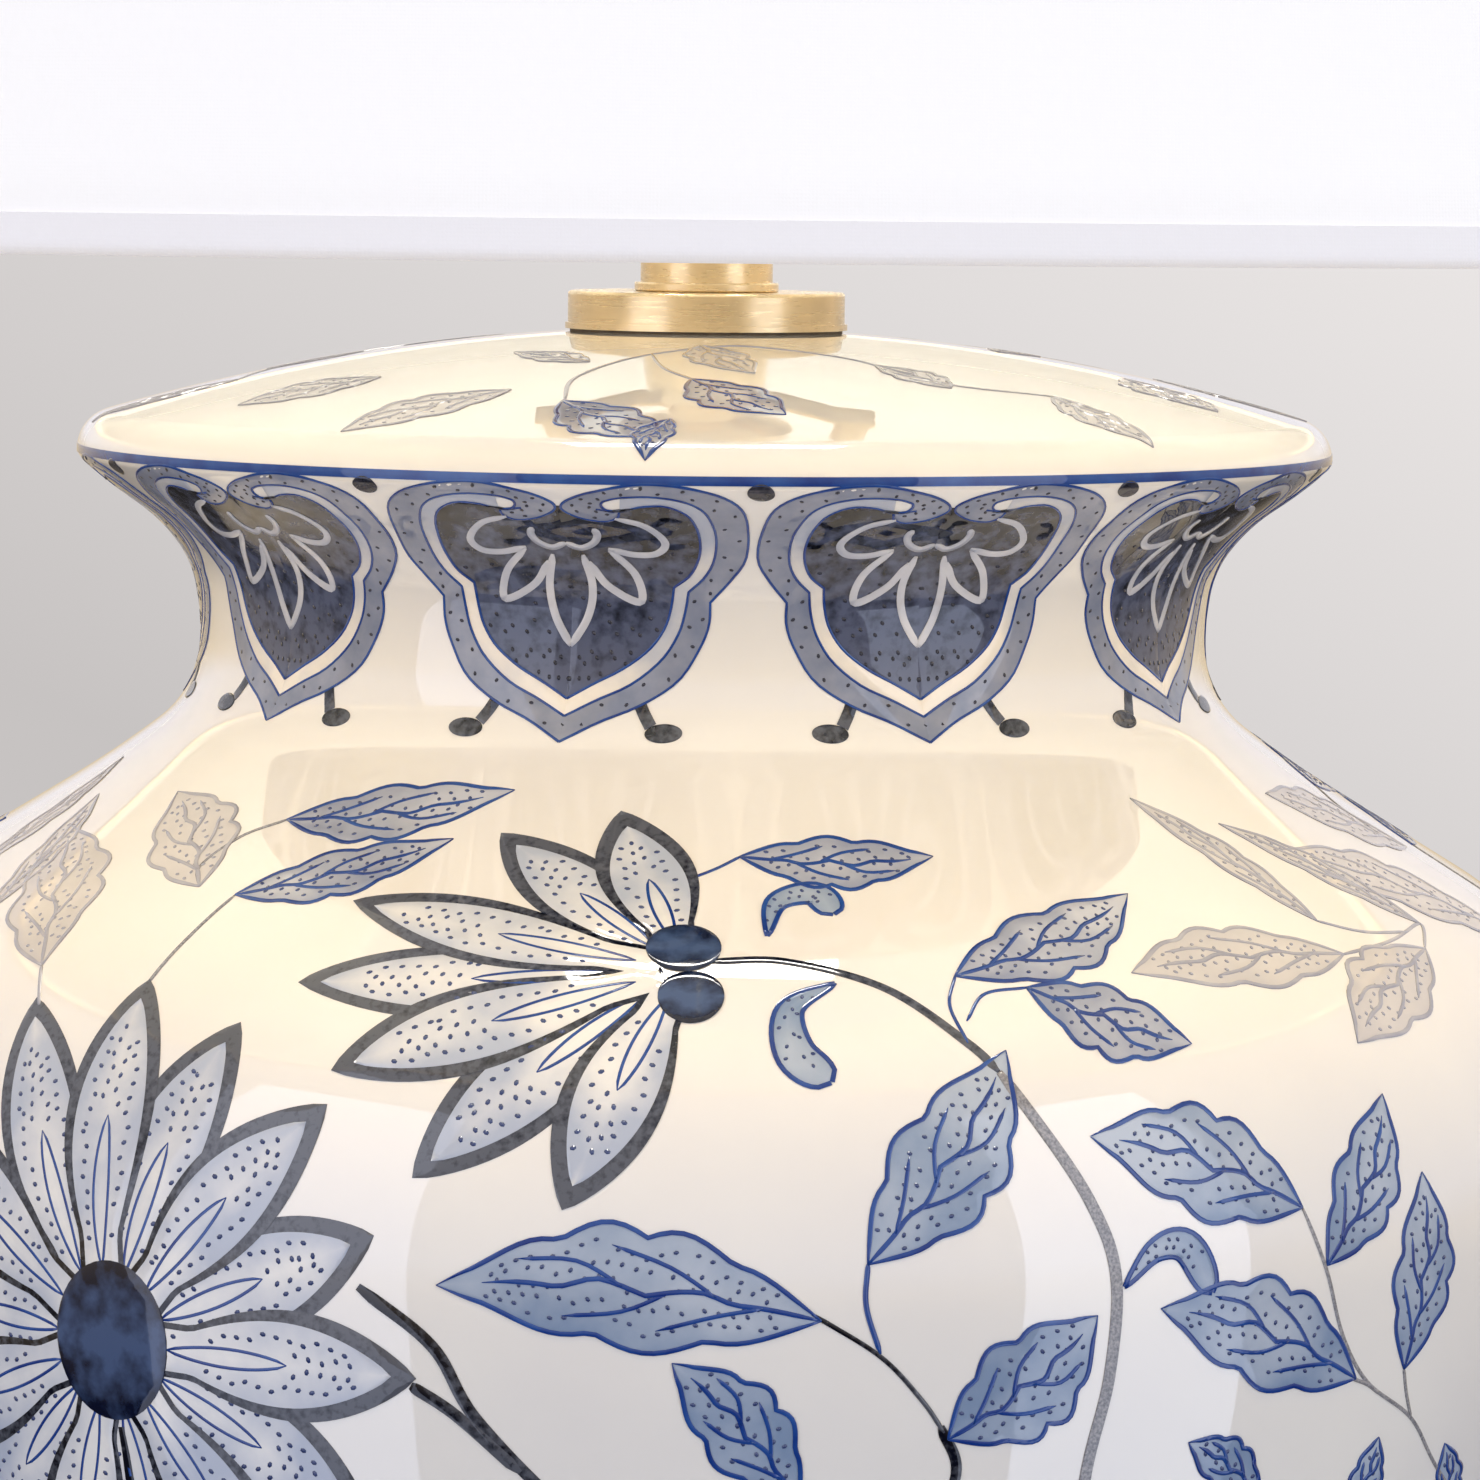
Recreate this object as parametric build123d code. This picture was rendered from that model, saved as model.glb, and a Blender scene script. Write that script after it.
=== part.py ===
from build123d import *
import os
from math import asin, cos, degrees, hypot, pi, radians, sin, sqrt

# Ceramic table lamp in millimetres, +Z up, with its origin at the centre of the underside.
# The photographed front faces -Y, and the bow that carries the shade lies in the XZ plane.

# Clearances
running_gap = 0.05      # shaft in its hole, radial
slip_gap = 0.1          # pieces that are pushed together by hand, radial
body_gap = 0.3          # faces of bodies that move past each other
rod_play = 1.2          # lamp rod in the holes of the ceramic

# Foot of the lamp
felt_thickness = 2.0
felt_inset = 2.0
plinth_margin = 1.5     # plinth's top wider than the jar's foot
plinth_setback = 8.5    # how far the top edge stands inside the band
plinth_band = 14.0      # upright band at the bottom of the plinth
plinth_riser = 10.0     # from the band up to the top
plinth_cove = 6.5       # hollow moulding between the band and the top
plinth_wall = 3.0
plinth_edge = 0.8       # rounding of the plinth's corners
plate_lip = 2.5         # plinth's top edge outside the plate
plate_ledge = 2.0       # ledge that the plate rests on
gasket_thickness = 1.5
gasket_inset = 1.5
foot_ring_width = 10.0
foot_recess = 6.0

# Cord inlet
inlet_bore = 3.3
inlet_wall = 1.2
inlet_flange = 2.1
inlet_flange_thickness = 1.6
inlet_tail = 2.0

# Jar
rim_height = 340.0      # from the foot to the rim line
rim_radius = 105.0
lip_radius = 6.5        # rounding from the dome over to the rim line
edge_radius = 2.0       # and under the rim line
edge_heading = -137.0
dome_rise = 20.7        # from the rim line to the top of the dome
flare_drop = 15.2
flare_spread = 4.0      # neck wider than the waist there
flare_heading = -127.0
waist_drop = 31.0
waist_radius = 84.4
slope_drop = 56.4
slope_spread = 22.6     # shoulder wider than the waist where its straight slope starts
slope_heading = -31.5
shoulder_run = 22.7     # length of that slope across
shoulder_fall = 13.8    # and down
belly_drop = 118.6
belly_radius = 155.5
taper_rise = 78.0       # heights above the foot from here on
taper_radius = 114.0
taper_heading = -118.0
ankle_rise = 14.0
ankle_swell = 1.0       # jar wider than its foot there
ankle_heading = -100.0
foot_radius = 90.0
jar_wall = 6.0
jar_floor = 7.0
jar_floor_chamfer = 4.0

# Rod and its nut
rod_radius = 4.85
rod_bore = 3.2
rod_tail = 4.0
nut_flats = 14.3
nut_height = 5.0
washer_radius = 14.0
washer_thickness = 1.6

# Brass on top of the jar
cap_washer_thickness = 0.5
cap_washer_inset = 0.8  # from the cap's edge
cap_washer_width = 3.0
cap_radius = 23.7
cap_height = 6.3
cap_wall = 1.6
cap_lip = 0.45          # thin bead at the cap's lower edge
cap_lip_height = 1.0
cap_edge = 0.6
neck_radius = 11.1
neck_length = 25.76
neck_foot = 1.0         # bead at the neck's lower end
neck_foot_height = 1.5
neck_edge = 0.3

# Harp and its saddle
saddle_thickness = 1.6
saddle_width = 14.0
saddle_flat = 13.0      # half length of the flat under the socket
saddle_rise = 6.0
saddle_ear = 4.0        # half length of the level end that carries a post
post_height = 13.0
wire_radius = 2.1
harp_foot_half = 29.0
harp_leg = 45.0         # straight leg above the post's foot
harp_swell = 60.0       # height of the bend from leg to side
harp_half = 57.0
harp_shoulder = 45.0
harp_height = 254.0     # from the neck's top to the shade seat
sleeve_wall = 1.4
sleeve_length = 15.0
sleeve_edge = 0.3
stud_radius = 3.1
stud_length = 13.0
stud_body_radius = 6.5
stud_flange_radius = 10.0
stud_flange_thickness = 2.0
stud_cover = 2.0        # metal above and below the wire in the stud's body

# Socket
hub_radius = 8.0
hub_height = 8.0
socket_wall = 0.8
socket_cone = 7.0
socket_skirt = 5.5
shell_margin = 2.0      # shell's mouth above the screw shell
shell_bead = 0.5        # rolled edge at the shell's mouth
sleeve_thickness = 0.8
block_height = 23.0
block_flat_depth = 4.5
cup_wall = 0.5
cup_length = 21.0
cup_slack = 0.4         # bulb cap in the screw shell, radial
cup_air = 0.9           # screw shell to insulating sleeve, radial
contact_radius = 5.0
contact_thickness = 1.0
contact_spring = 1.8
terminal_radius = 3.0
terminal_head = 2.0
terminal_shank = 1.6
terminal_depth = 4.0
set_screw_radius = 1.5
set_screw_stand = 1.5   # how far the set screw stands out of the hub

# Turn switch
spindle_radius = 1.9
spindle_depth = 6.0     # spindle inside the block
knob_wall = 1.2         # knob's narrow end round the spindle
knob_swell = 2.7        # grip wider than the spindle
knob_neck = 5.0
knob_flare = 3.0
knob_grip = 5.0
knob_stand = 0.8        # air between the shell and the knob
knob_flat = 3.0         # half thickness of the grip between its two flats
knob_edge = 0.5

# Bulb
bulb_cap_radius = 13.1
bulb_cap_length = 18.0
bulb_cap_wall = 0.6
bulb_tip_radius = 4.5
bulb_tip_height = 2.2
bulb_insulator_height = 4.0
bulb_collar = 1.4       # housing wider than the cap at its lower end
bulb_housing_height = 34.0
bulb_radius = 30.0
bulb_side = 22.0        # upright part of the globe
bulb_skin = 1.4
bulb_rim = 3.0          # housing's upper rim, which carries the globe and the board
bulb_board_thickness = 1.6

# Shade
shade_bottom_radius = 228.5
shade_top_radius = 203.0
shade_height = 284.0
spider_drop = 12.7      # from the top edge down to the centre washer
fabric_thickness = 0.5
liner_thickness = 0.5
glue_gap = 0.1
ring_wire = 1.8
hem_thickness = 0.6
hem_height = 4.6
hem_lap = 6.5           # inner fold beyond the ring
arm_wire = 1.6
arm_count = 3
arm_weld = 2.0          # arm's end inside the washer's edge
spider_washer_margin = 4.0
spider_washer_thickness = 1.5

# Finial
finial_bush_wall = 2.2
finial_bush_spare = 1.5  # bush beyond the stud's end
finial_base_height = 2.4
finial_neck_wall = 1.7
finial_ball_swell = 4.4  # ball wider than the neck
finial_ball_sink = 3.5  # ball's lower end below the bush's top
finial_tip_radius = 3.0
finial_tip_height = 4.0

# Levels and sizes that follow from these
plinth_top_radius = foot_radius + plinth_margin
plinth_radius = plinth_top_radius + plinth_setback
band_top = felt_thickness + plinth_band
plinth_top = band_top + plinth_riser
plinth_under = plinth_top - plinth_wall
plate_seat = plinth_top_radius - plate_lip
plate_hold = plate_seat - plate_ledge
inlet_level = felt_thickness + plinth_band / 2
foot_level = plinth_top + gasket_thickness
foot_inner = foot_radius - foot_ring_width
rim_level = foot_level + rim_height
lip_run = rim_radius - lip_radius
dome_curve = (lip_run ** 2 + dome_rise ** 2 - lip_radius ** 2) / (2 * (dome_rise - lip_radius))
dome_centre = rim_level + dome_rise - dome_curve
rod_hole = rod_radius + rod_play
rod_fit = rod_radius + slip_gap
washer_bottom = plinth_under - washer_thickness
nut_bottom = washer_bottom - nut_height


def dome_station(radius, depth=0.0):
    """(radius, height, heading) on the dome, or below its outer face by a depth."""
    curve = dome_curve - depth
    return (radius, dome_centre + sqrt(curve ** 2 - radius ** 2), -degrees(asin(radius / curve)))


cap_bottom = dome_station(cap_radius)[1] + cap_washer_thickness
cap_top = cap_bottom + cap_height
neck_top = cap_top + neck_length
saddle_top = neck_top + saddle_thickness
ear_top = saddle_top + saddle_rise
post_top = ear_top + post_height
seat_level = neck_top + harp_height
wire_level = seat_level - stud_flange_thickness - stud_cover - wire_radius

cup_inner = bulb_cap_radius + cup_slack
cup_outer = cup_inner + cup_wall
block_radius = cup_outer + cup_air - slip_gap
sleeve_inner = cup_outer + cup_air
sleeve_outer = sleeve_inner + sleeve_thickness
shell_inner = sleeve_outer + slip_gap
shell_outer = shell_inner + socket_wall
skirt_inner = shell_outer + slip_gap
skirt_outer = skirt_inner + socket_wall
hub_top = saddle_top + hub_height
screw_level = saddle_top + hub_height / 2
shell_bottom = hub_top + socket_cone
skirt_top = shell_bottom + socket_skirt
block_top = shell_bottom + block_height
knob_level = shell_bottom + block_height / 2
cup_top = block_top + cup_length
shell_top = cup_top + shell_margin
block_flat = block_radius - block_flat_depth
spindle_start = block_radius - spindle_depth
knob_start = shell_outer + knob_stand
knob_bore_end = knob_start + knob_neck + knob_flare

tip_bottom = block_top + contact_thickness + contact_spring + body_gap
tip_top = tip_bottom + bulb_tip_height
bulb_cap_bottom = tip_top + bulb_insulator_height
bulb_cap_top = bulb_cap_bottom + bulb_cap_length
bulb_cap_inner = bulb_cap_radius - bulb_cap_wall
housing_top = bulb_cap_top + bulb_housing_height

spider_level = seat_level + body_gap
spider_washer_radius = stud_flange_radius + spider_washer_margin
shade_top = spider_level + spider_drop
shade_bottom = shade_top - shade_height
shade_slant = hypot(shade_height, shade_bottom_radius - shade_top_radius)
shade_lean = asin((shade_bottom_radius - shade_top_radius) / shade_slant)
liner_outer = -fabric_thickness - glue_gap
liner_inner = liner_outer - liner_thickness
ring_out = liner_inner - slip_gap - ring_wire
ring_along = ring_wire + slip_gap

finial_bottom = spider_level + spider_washer_thickness + body_gap
finial_bush_radius = stud_radius + running_gap + finial_bush_wall
finial_bush_top = seat_level + stud_length + finial_bush_spare


def turned(corners, rounding=None):
    """Solid of revolution about Z from the (radius, height) corners of its half section."""
    points = [(radius, 0, height) for radius, height in corners]
    radii = rounding or [0.0] * len(points)
    return revolve(make_face(FilletPolyline(points, radius=radii, close=True)), Axis.Z)


def ring(outer, inner, bottom, top):
    """Upright tube about Z."""
    return turned([(inner, bottom), (outer, bottom), (outer, top), (inner, top)])


def bar(start, finish, radius):
    """Round bar between two points."""
    along = Vector(*finish) - Vector(*start)
    return extrude(Plane(origin=start, z_dir=along) * Circle(radius), amount=along.length)


def block_at(size, centre):
    """Box of the given size about its centre."""
    return Pos(*centre) * Box(*size)


def lines(corners):
    """Straight edges through a run of (radius, height) corners."""
    points = [(radius, 0, height) for radius, height in corners]
    return [Line(*pair) for pair in zip(points, points[1:])]


def save(node, shape):
    """Write one piece under its own name."""
    export_step(shape, f"parts/{node}.step")


# The jar's outline is a chain of stations (radius, height, heading in degrees), joined by pairs of arcs.
slope_radius = waist_radius + slope_spread
edge_turn = radians(edge_heading)
jar_stations = [
    (rim_radius, rim_level, -90.0),
    (rim_radius - edge_radius * (1 + sin(edge_turn)), rim_level + edge_radius * cos(edge_turn), edge_heading),
    (waist_radius + flare_spread, rim_level - flare_drop, flare_heading),
    (waist_radius, rim_level - waist_drop, -90.0),
    (slope_radius, rim_level - slope_drop, slope_heading),
    (slope_radius + shoulder_run, rim_level - slope_drop - shoulder_fall, slope_heading),
    (belly_radius, rim_level - belly_drop, -90.0),
    (taper_radius, foot_level + taper_rise, taper_heading),
    (foot_radius + ankle_swell, foot_level + ankle_rise, ankle_heading),
    (foot_radius, foot_level, -90.0),
]


def station_arcs(start, finish):
    """Two arcs that leave one station and reach the next along their headings."""
    first = Vector(start[0], 0, start[1])
    last = Vector(finish[0], 0, finish[1])
    leave = Vector(cos(radians(start[2])), 0, sin(radians(start[2])))
    reach = Vector(cos(radians(finish[2])), 0, sin(radians(finish[2])))
    chord = last - first
    both = chord.dot(leave + reach)
    bend = 2 * (1 - leave.dot(reach))
    if bend < 1e-9:
        handle = chord.dot(chord) / (4 * chord.dot(leave))
    else:
        handle = (sqrt(both ** 2 + bend * chord.dot(chord)) - both) / bend
    middle = (first + leave * handle + last - reach * handle) * 0.5
    return [TangentArc(first, middle, tangent=leave), TangentArc(last, middle, tangent=reach * -1)]


def chain(stations):
    """Arcs through a run of stations."""
    return [arc for pair in zip(stations, stations[1:]) for arc in station_arcs(*pair)]


def inner_station(station):
    """The same station on the inner face of the jar's wall."""
    turn = radians(station[2])
    return (station[0] + jar_wall * sin(turn), station[1] - jar_wall * cos(turn), station[2])


def ceramic_body():
    """Hollow jar with a closed dome, a flared neck and a recessed foot ring."""
    to_lip = Vector(lip_run, rim_level - dome_centre).normalized()
    outer_dome = [dome_station(rod_hole), dome_station(dome_curve * to_lip.X)]
    inner = [inner_station(station) for station in jar_stations[2:-1]]
    inner_dome = [dome_station(rod_hole, jar_wall), dome_station(inner[0][0], jar_wall)]
    floor_top = foot_level + foot_recess + jar_floor
    foot_corners = [
        (foot_radius, foot_level),
        (foot_inner, foot_level),
        (foot_inner, foot_level + foot_recess),
        (rod_hole, foot_level + foot_recess),
        (rod_hole, floor_top),
        (inner[-1][0] - jar_floor_chamfer, floor_top),
        (inner[-1][0], floor_top + jar_floor_chamfer),
    ]
    inner[-1] = (*foot_corners[-1], ankle_heading)
    outline = chain(outer_dome + jar_stations) + lines(foot_corners)
    outline += chain(inner_dome + inner) + lines([inner_dome[0][:2], outer_dome[0][:2]])
    return revolve(make_face(outline), Axis.Z)


def base_plinth():
    """Turned base ring: upright band, cove and top edge, rebated for the plate, with the cord hole at the back."""
    corners = [
        (plinth_radius, felt_thickness),
        (plinth_radius, band_top),
        (plinth_top_radius, band_top),
        (plinth_top_radius, plinth_top),
        (plate_seat, plinth_top),
        (plate_seat, plinth_under),
        (plate_hold, plinth_under),
        (plate_hold, band_top - plinth_wall),
        (plinth_radius - plinth_wall, band_top - plinth_wall),
        (plinth_radius - plinth_wall, felt_thickness),
    ]
    rounding = [plinth_edge, plinth_edge, plinth_cove, plinth_edge] + [0] * 6
    hole = bar((0, plinth_top_radius, inlet_level), (0, plinth_radius + plinth_wall, inlet_level),
               inlet_bore + inlet_wall + slip_gap)
    return turned(corners, rounding) - hole


def cord_bushing():
    """Flanged sleeve in the plinth's wall, which the lead goes through."""
    inner_end = (0, plinth_radius - plinth_wall - inlet_tail, inlet_level)
    seat = (0, plinth_radius, inlet_level)
    outer_end = (0, plinth_radius + inlet_flange_thickness, inlet_level)
    sleeve = inlet_bore + inlet_wall
    bushing = bar(inner_end, outer_end, sleeve) + bar(seat, outer_end, sleeve + inlet_flange)
    return bushing - bar(inner_end, outer_end, inlet_bore)


def base_nut():
    """Hexagon nut on the rod's lower end."""
    hexagon = RegularPolygon(nut_flats / 2, 6, major_radius=False)
    nut = extrude(Pos(0, 0, nut_bottom) * hexagon, amount=nut_height)
    return nut - ring(rod_fit, 0, nut_bottom, washer_bottom)


def cap_washer():
    """Soft ring that follows the dome under the vase cap."""
    edge = cap_radius - cap_washer_inset
    inner = dome_station(edge - cap_washer_width)
    outer = dome_station(edge)
    sides = lines([outer[:2], (outer[0], cap_bottom), (inner[0], cap_bottom), inner[:2]])
    return revolve(make_face(chain([inner, outer]) + sides), Axis.Z)


def vase_cap():
    """Spun disc with a turned-down side and a thin bead at its lower edge."""
    side = cap_radius - cap_lip
    inner = side - cap_wall
    corners = [
        (cap_radius, cap_bottom),
        (cap_radius, cap_bottom + cap_lip_height),
        (side, cap_bottom + cap_lip_height),
        (side, cap_top),
        (rod_fit, cap_top),
        (rod_fit, cap_top - cap_wall),
        (inner, cap_top - cap_wall),
        (inner, cap_bottom),
    ]
    return turned(corners, [0, 0, 0, cap_edge, 0, 0, 0, 0])


def neck_tube():
    """Short tube with a bead at its foot."""
    foot = neck_radius + neck_foot
    foot_top = cap_top + neck_foot_height
    corners = [
        (rod_fit, cap_top),
        (foot, cap_top),
        (foot, foot_top),
        (neck_radius, foot_top),
        (neck_radius, neck_top),
        (rod_fit, neck_top),
    ]
    return turned(corners, [0, neck_edge, neck_edge, 0, neck_edge, 0])


def harp_saddle():
    """Bent strip on the neck with a half-round post at each end."""
    ends = harp_foot_half + saddle_ear
    knee = harp_foot_half - saddle_ear
    high = neck_top + saddle_rise
    right = [(saddle_flat, neck_top), (knee, high), (ends, high)]
    under = [(-x, z) for x, z in reversed(right)] + right
    over = [(x, z + saddle_thickness) for x, z in reversed(under)]
    outline = Polyline([(x, -saddle_width / 2, z) for x, z in under + over], close=True)
    saddle = extrude(make_face(outline), amount=saddle_width, dir=(0, 1, 0))
    saddle -= ring(rod_fit, 0, neck_top, saddle_top)
    for side in (-1, 1):
        post = bar((side * harp_foot_half, 0, ear_top), (side * harp_foot_half, 0, post_top), wire_radius)
        inner_half = block_at((2 * wire_radius, 2 * wire_radius, post_height),
                              (side * (harp_foot_half - wire_radius - slip_gap), 0, ear_top + post_height / 2))
        saddle += post & inner_half
    return saddle


def harp():
    """Wire bow: straight legs, swelled sides and round shoulders, with half-round feet beside the posts."""
    foot = (harp_foot_half, 0, ear_top + slip_gap)
    leg_top = (harp_foot_half, 0, ear_top + harp_leg)
    swell_top = (harp_half, 0, ear_top + harp_leg + harp_swell)
    swell_middle = ((harp_foot_half + harp_half) / 2, 0, ear_top + harp_leg + harp_swell / 2)
    shoulder = (harp_half, 0, wire_level - harp_shoulder)
    top_end = (harp_half - harp_shoulder, 0, wire_level)
    path = Wire([
        Line(foot, leg_top),
        TangentArc(leg_top, swell_middle, tangent=(0, 0, 1)),
        TangentArc(swell_top, swell_middle, tangent=(0, 0, -1)),
        Line(swell_top, shoulder),
        TangentArc(shoulder, top_end, tangent=(0, 0, 1)),
        Line(top_end, (0, 0, wire_level)),
    ])
    half = sweep(Plane(origin=foot, z_dir=(0, 0, 1)) * Circle(wire_radius), path=path)
    half -= block_at((2 * wire_radius, 2 * wire_radius, post_height + slip_gap),
                     (harp_foot_half - wire_radius, 0, ear_top + (post_height + slip_gap) / 2))
    return half + mirror(half, about=Plane.YZ)


def harp_stud():
    """Turned seat on the bow with the threaded stud for the finial."""
    under = wire_level - wire_radius - stud_cover
    flange = seat_level - stud_flange_thickness
    corners = [
        (0, under),
        (stud_body_radius, under),
        (stud_body_radius, flange),
        (stud_flange_radius, flange),
        (stud_flange_radius, seat_level),
        (stud_radius, seat_level),
        (stud_radius, seat_level + stud_length),
        (0, seat_level + stud_length),
    ]
    cross_bore = bar((-stud_flange_radius, 0, wire_level), (stud_flange_radius, 0, wire_level),
                     wire_radius + running_gap)
    return turned(corners) - cross_bore


def harp_sleeve(side):
    """Locking sleeve round one post and its harp leg."""
    inner = wire_radius + slip_gap
    outer = inner + sleeve_wall
    bottom = ear_top + body_gap
    top = bottom + sleeve_length
    corners = [(inner, bottom), (outer, bottom), (outer, top), (inner, top)]
    return Pos(side * harp_foot_half, 0, 0) * turned(corners, [0, sleeve_edge, sleeve_edge, 0])


def socket_cap():
    """Hub on the rod, opening to the skirt that takes the shell."""
    corners = [
        (rod_fit, saddle_top),
        (hub_radius, saddle_top),
        (hub_radius, hub_top),
        (skirt_outer, shell_bottom),
        (skirt_outer, skirt_top),
        (skirt_inner, skirt_top),
        (skirt_inner, shell_bottom),
        (hub_radius, hub_top + socket_wall),
        (rod_fit, hub_top + socket_wall),
    ]
    screw_hole = bar((0, 0, screw_level), (0, skirt_outer, screw_level), set_screw_radius + running_gap)
    return turned(corners) - screw_hole


def socket_cap_screw():
    """Slotted set screw through the hub against the rod."""
    outer_end = hub_radius + set_screw_stand
    screw = bar((0, rod_fit, screw_level), (0, outer_end, screw_level), set_screw_radius)
    slot = (2 * set_screw_radius, set_screw_stand, set_screw_radius / 3)
    return screw - block_at(slot, (0, outer_end, screw_level))


def spindle_hole(radius):
    """Bore through the socket's front wall for the switch spindle."""
    return bar((0, -spindle_start, knob_level), (0, -skirt_outer, knob_level), radius)


def socket_shell():
    """Thin outer shell with a rolled mouth."""
    bead_bottom = shell_top - 2 * shell_bead
    corners = [
        (shell_inner, shell_bottom),
        (shell_outer, shell_bottom),
        (shell_outer, bead_bottom),
        (shell_outer + shell_bead, bead_bottom),
        (shell_outer + shell_bead, shell_top),
        (shell_inner, shell_top),
    ]
    return turned(corners) - spindle_hole(spindle_radius + body_gap)


def socket_sleeve():
    """Insulating sleeve between the shell and the live parts."""
    return ring(sleeve_outer, sleeve_inner, shell_bottom, cup_top) - spindle_hole(spindle_radius + body_gap)


def socket_body():
    """Moulded block with pockets for the terminals and a bore for the spindle."""
    body = ring(block_radius, 0, shell_bottom, block_top)
    pocket = (2 * block_flat_depth, 2 * block_radius, 3 * terminal_radius)
    for side in (-1, 1):
        body -= block_at(pocket, (side * block_radius, 0, knob_level))
        body -= bar((side * (block_flat - terminal_depth), 0, knob_level), (side * block_flat, 0, knob_level),
                    terminal_shank + running_gap)
    return body - spindle_hole(spindle_radius + running_gap)


def socket_terminals():
    """Two slotted terminal screws on the block's flats."""
    screws = []
    slot = (terminal_head, 2 * terminal_radius, terminal_head / 3)
    for side in (-1, 1):
        flat = (side * block_flat, 0, knob_level)
        head_end = (side * (block_flat + terminal_head), 0, knob_level)
        screw = bar((side * (block_flat - terminal_depth), 0, knob_level), flat, terminal_shank)
        screw += bar(flat, head_end, terminal_radius)
        screws.append(screw - block_at(slot, head_end))
    return Compound(children=screws)


def socket_screw_shell():
    """Open cup that takes the bulb's cap."""
    floor_hole = contact_radius + body_gap
    corners = [
        (floor_hole, block_top),
        (cup_outer, block_top),
        (cup_outer, cup_top),
        (cup_inner, cup_top),
        (cup_inner, block_top + cup_wall),
        (floor_hole, block_top + cup_wall),
    ]
    return turned(corners)


def socket_contact():
    """Centre contact: a disc on the block with a raised button."""
    disc_top = block_top + contact_thickness
    button = contact_radius / 2
    return ring(contact_radius, 0, block_top, disc_top) + ring(button, 0, disc_top, disc_top + contact_spring)


def switch_spindle():
    """Shaft from the block out into the knob."""
    inner_end = spindle_start + body_gap
    return bar((0, -inner_end, knob_level), (0, -knob_bore_end, knob_level), spindle_radius)


def switch_knob():
    """Grip with two finger flats and a narrow neck, bored for its spindle."""
    finish = knob_bore_end + knob_grip
    neck = spindle_radius + knob_wall
    grip = spindle_radius + knob_swell
    corners = [
        (0, knob_start),
        (neck, knob_start),
        (neck, knob_start + knob_neck),
        (grip, knob_bore_end),
        (grip, finish),
        (0, finish),
    ]
    knob = Pos(0, 0, knob_level) * (Rot(90, 0, 0) * turned(corners, [0, knob_edge, 0, knob_edge, knob_edge, 0]))
    for side in (-1, 1):
        knob -= block_at((2 * grip, knob_grip, grip),
                         (0, -finish + knob_grip / 2, knob_level + side * (knob_flat + grip / 2)))
    bore = bar((0, -knob_start, knob_level), (0, -knob_bore_end, knob_level), spindle_radius + running_gap)
    return knob - bore


def bulb_contact():
    """Round tip contact of the bulb."""
    corners = [(0, tip_bottom), (bulb_tip_radius, tip_bottom), (bulb_tip_radius, tip_top), (0, tip_top)]
    return turned(corners, [0, bulb_tip_height / 2, 0, 0])


def bulb_insulator():
    """Dark cone between the tip and the cap."""
    lower = [(0, tip_top), (bulb_tip_radius, tip_top)]
    return turned(lower + [(bulb_cap_inner, bulb_cap_bottom), (0, bulb_cap_bottom)])


def bulb_housing():
    """Tapered hollow lower half of the bulb, with a closed spigot in the cap and a rim at the top."""
    spigot = bulb_cap_inner - slip_gap
    collar = bulb_cap_radius + bulb_collar
    corners = [
        (0, bulb_cap_bottom),
        (spigot, bulb_cap_bottom),
        (spigot, bulb_cap_top),
        (collar, bulb_cap_top),
        (collar, bulb_cap_top + bulb_collar),
        (bulb_radius, housing_top),
        (bulb_radius - bulb_rim, housing_top),
        (spigot - bulb_skin, bulb_cap_top + bulb_collar),
        (spigot - bulb_skin, bulb_cap_bottom + bulb_skin),
        (0, bulb_cap_bottom + bulb_skin),
    ]
    return turned(corners)


def bulb_diffuser():
    """Frosted globe, open at the bottom, with an even skin."""
    side_top = housing_top + bulb_side
    edges = []
    for radius in (bulb_radius, bulb_radius - bulb_skin):
        edges += lines([(radius, housing_top), (radius, side_top)])
        edges.append(TangentArc((radius, 0, side_top), (0, 0, side_top + radius), tangent=(0, 0, 1)))
    edges += lines([(bulb_radius - bulb_skin, housing_top), (bulb_radius, housing_top)])
    edges += lines([(0, side_top + bulb_radius - bulb_skin), (0, side_top + bulb_radius)])
    return revolve(make_face(edges), Axis.Z)


def on_shade(along, out):
    """(radius, height) at a distance up the shade's slant and out from its outer face."""
    radius = shade_bottom_radius - along * sin(shade_lean) + out * cos(shade_lean)
    return (radius, shade_bottom + along * cos(shade_lean) + out * sin(shade_lean))


def shade_layer(outer, inner):
    """Conical sheet between two distances from the shade's outer face."""
    outer_face = [on_shade(0, outer), on_shade(shade_slant, outer)]
    return turned(outer_face + [on_shade(shade_slant, inner), on_shade(0, inner)])


def wire_ring(along):
    """Round wire ring inside the liner."""
    radius, height = on_shade(along, ring_out)
    return Pos(0, 0, height) * Torus(radius, ring_wire)


def shade_hem(edge, inward):
    """Binding folded round one edge of the shade and its wire ring."""
    fold = slip_gap + hem_thickness
    inner = ring_out - ring_wire - slip_gap
    turn = 2 * ring_along
    lap = turn + hem_lap
    section = [
        (hem_height, slip_gap),
        (hem_height, fold),
        (-fold, fold),
        (-fold, inner - hem_thickness),
        (turn, inner - hem_thickness),
        (lap, liner_inner - fold),
        (lap, liner_inner - slip_gap),
        (turn, inner),
        (-slip_gap, inner),
        (-slip_gap, slip_gap),
    ]
    return turned([on_shade(edge + inward * along, out) for along, out in section])


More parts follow.
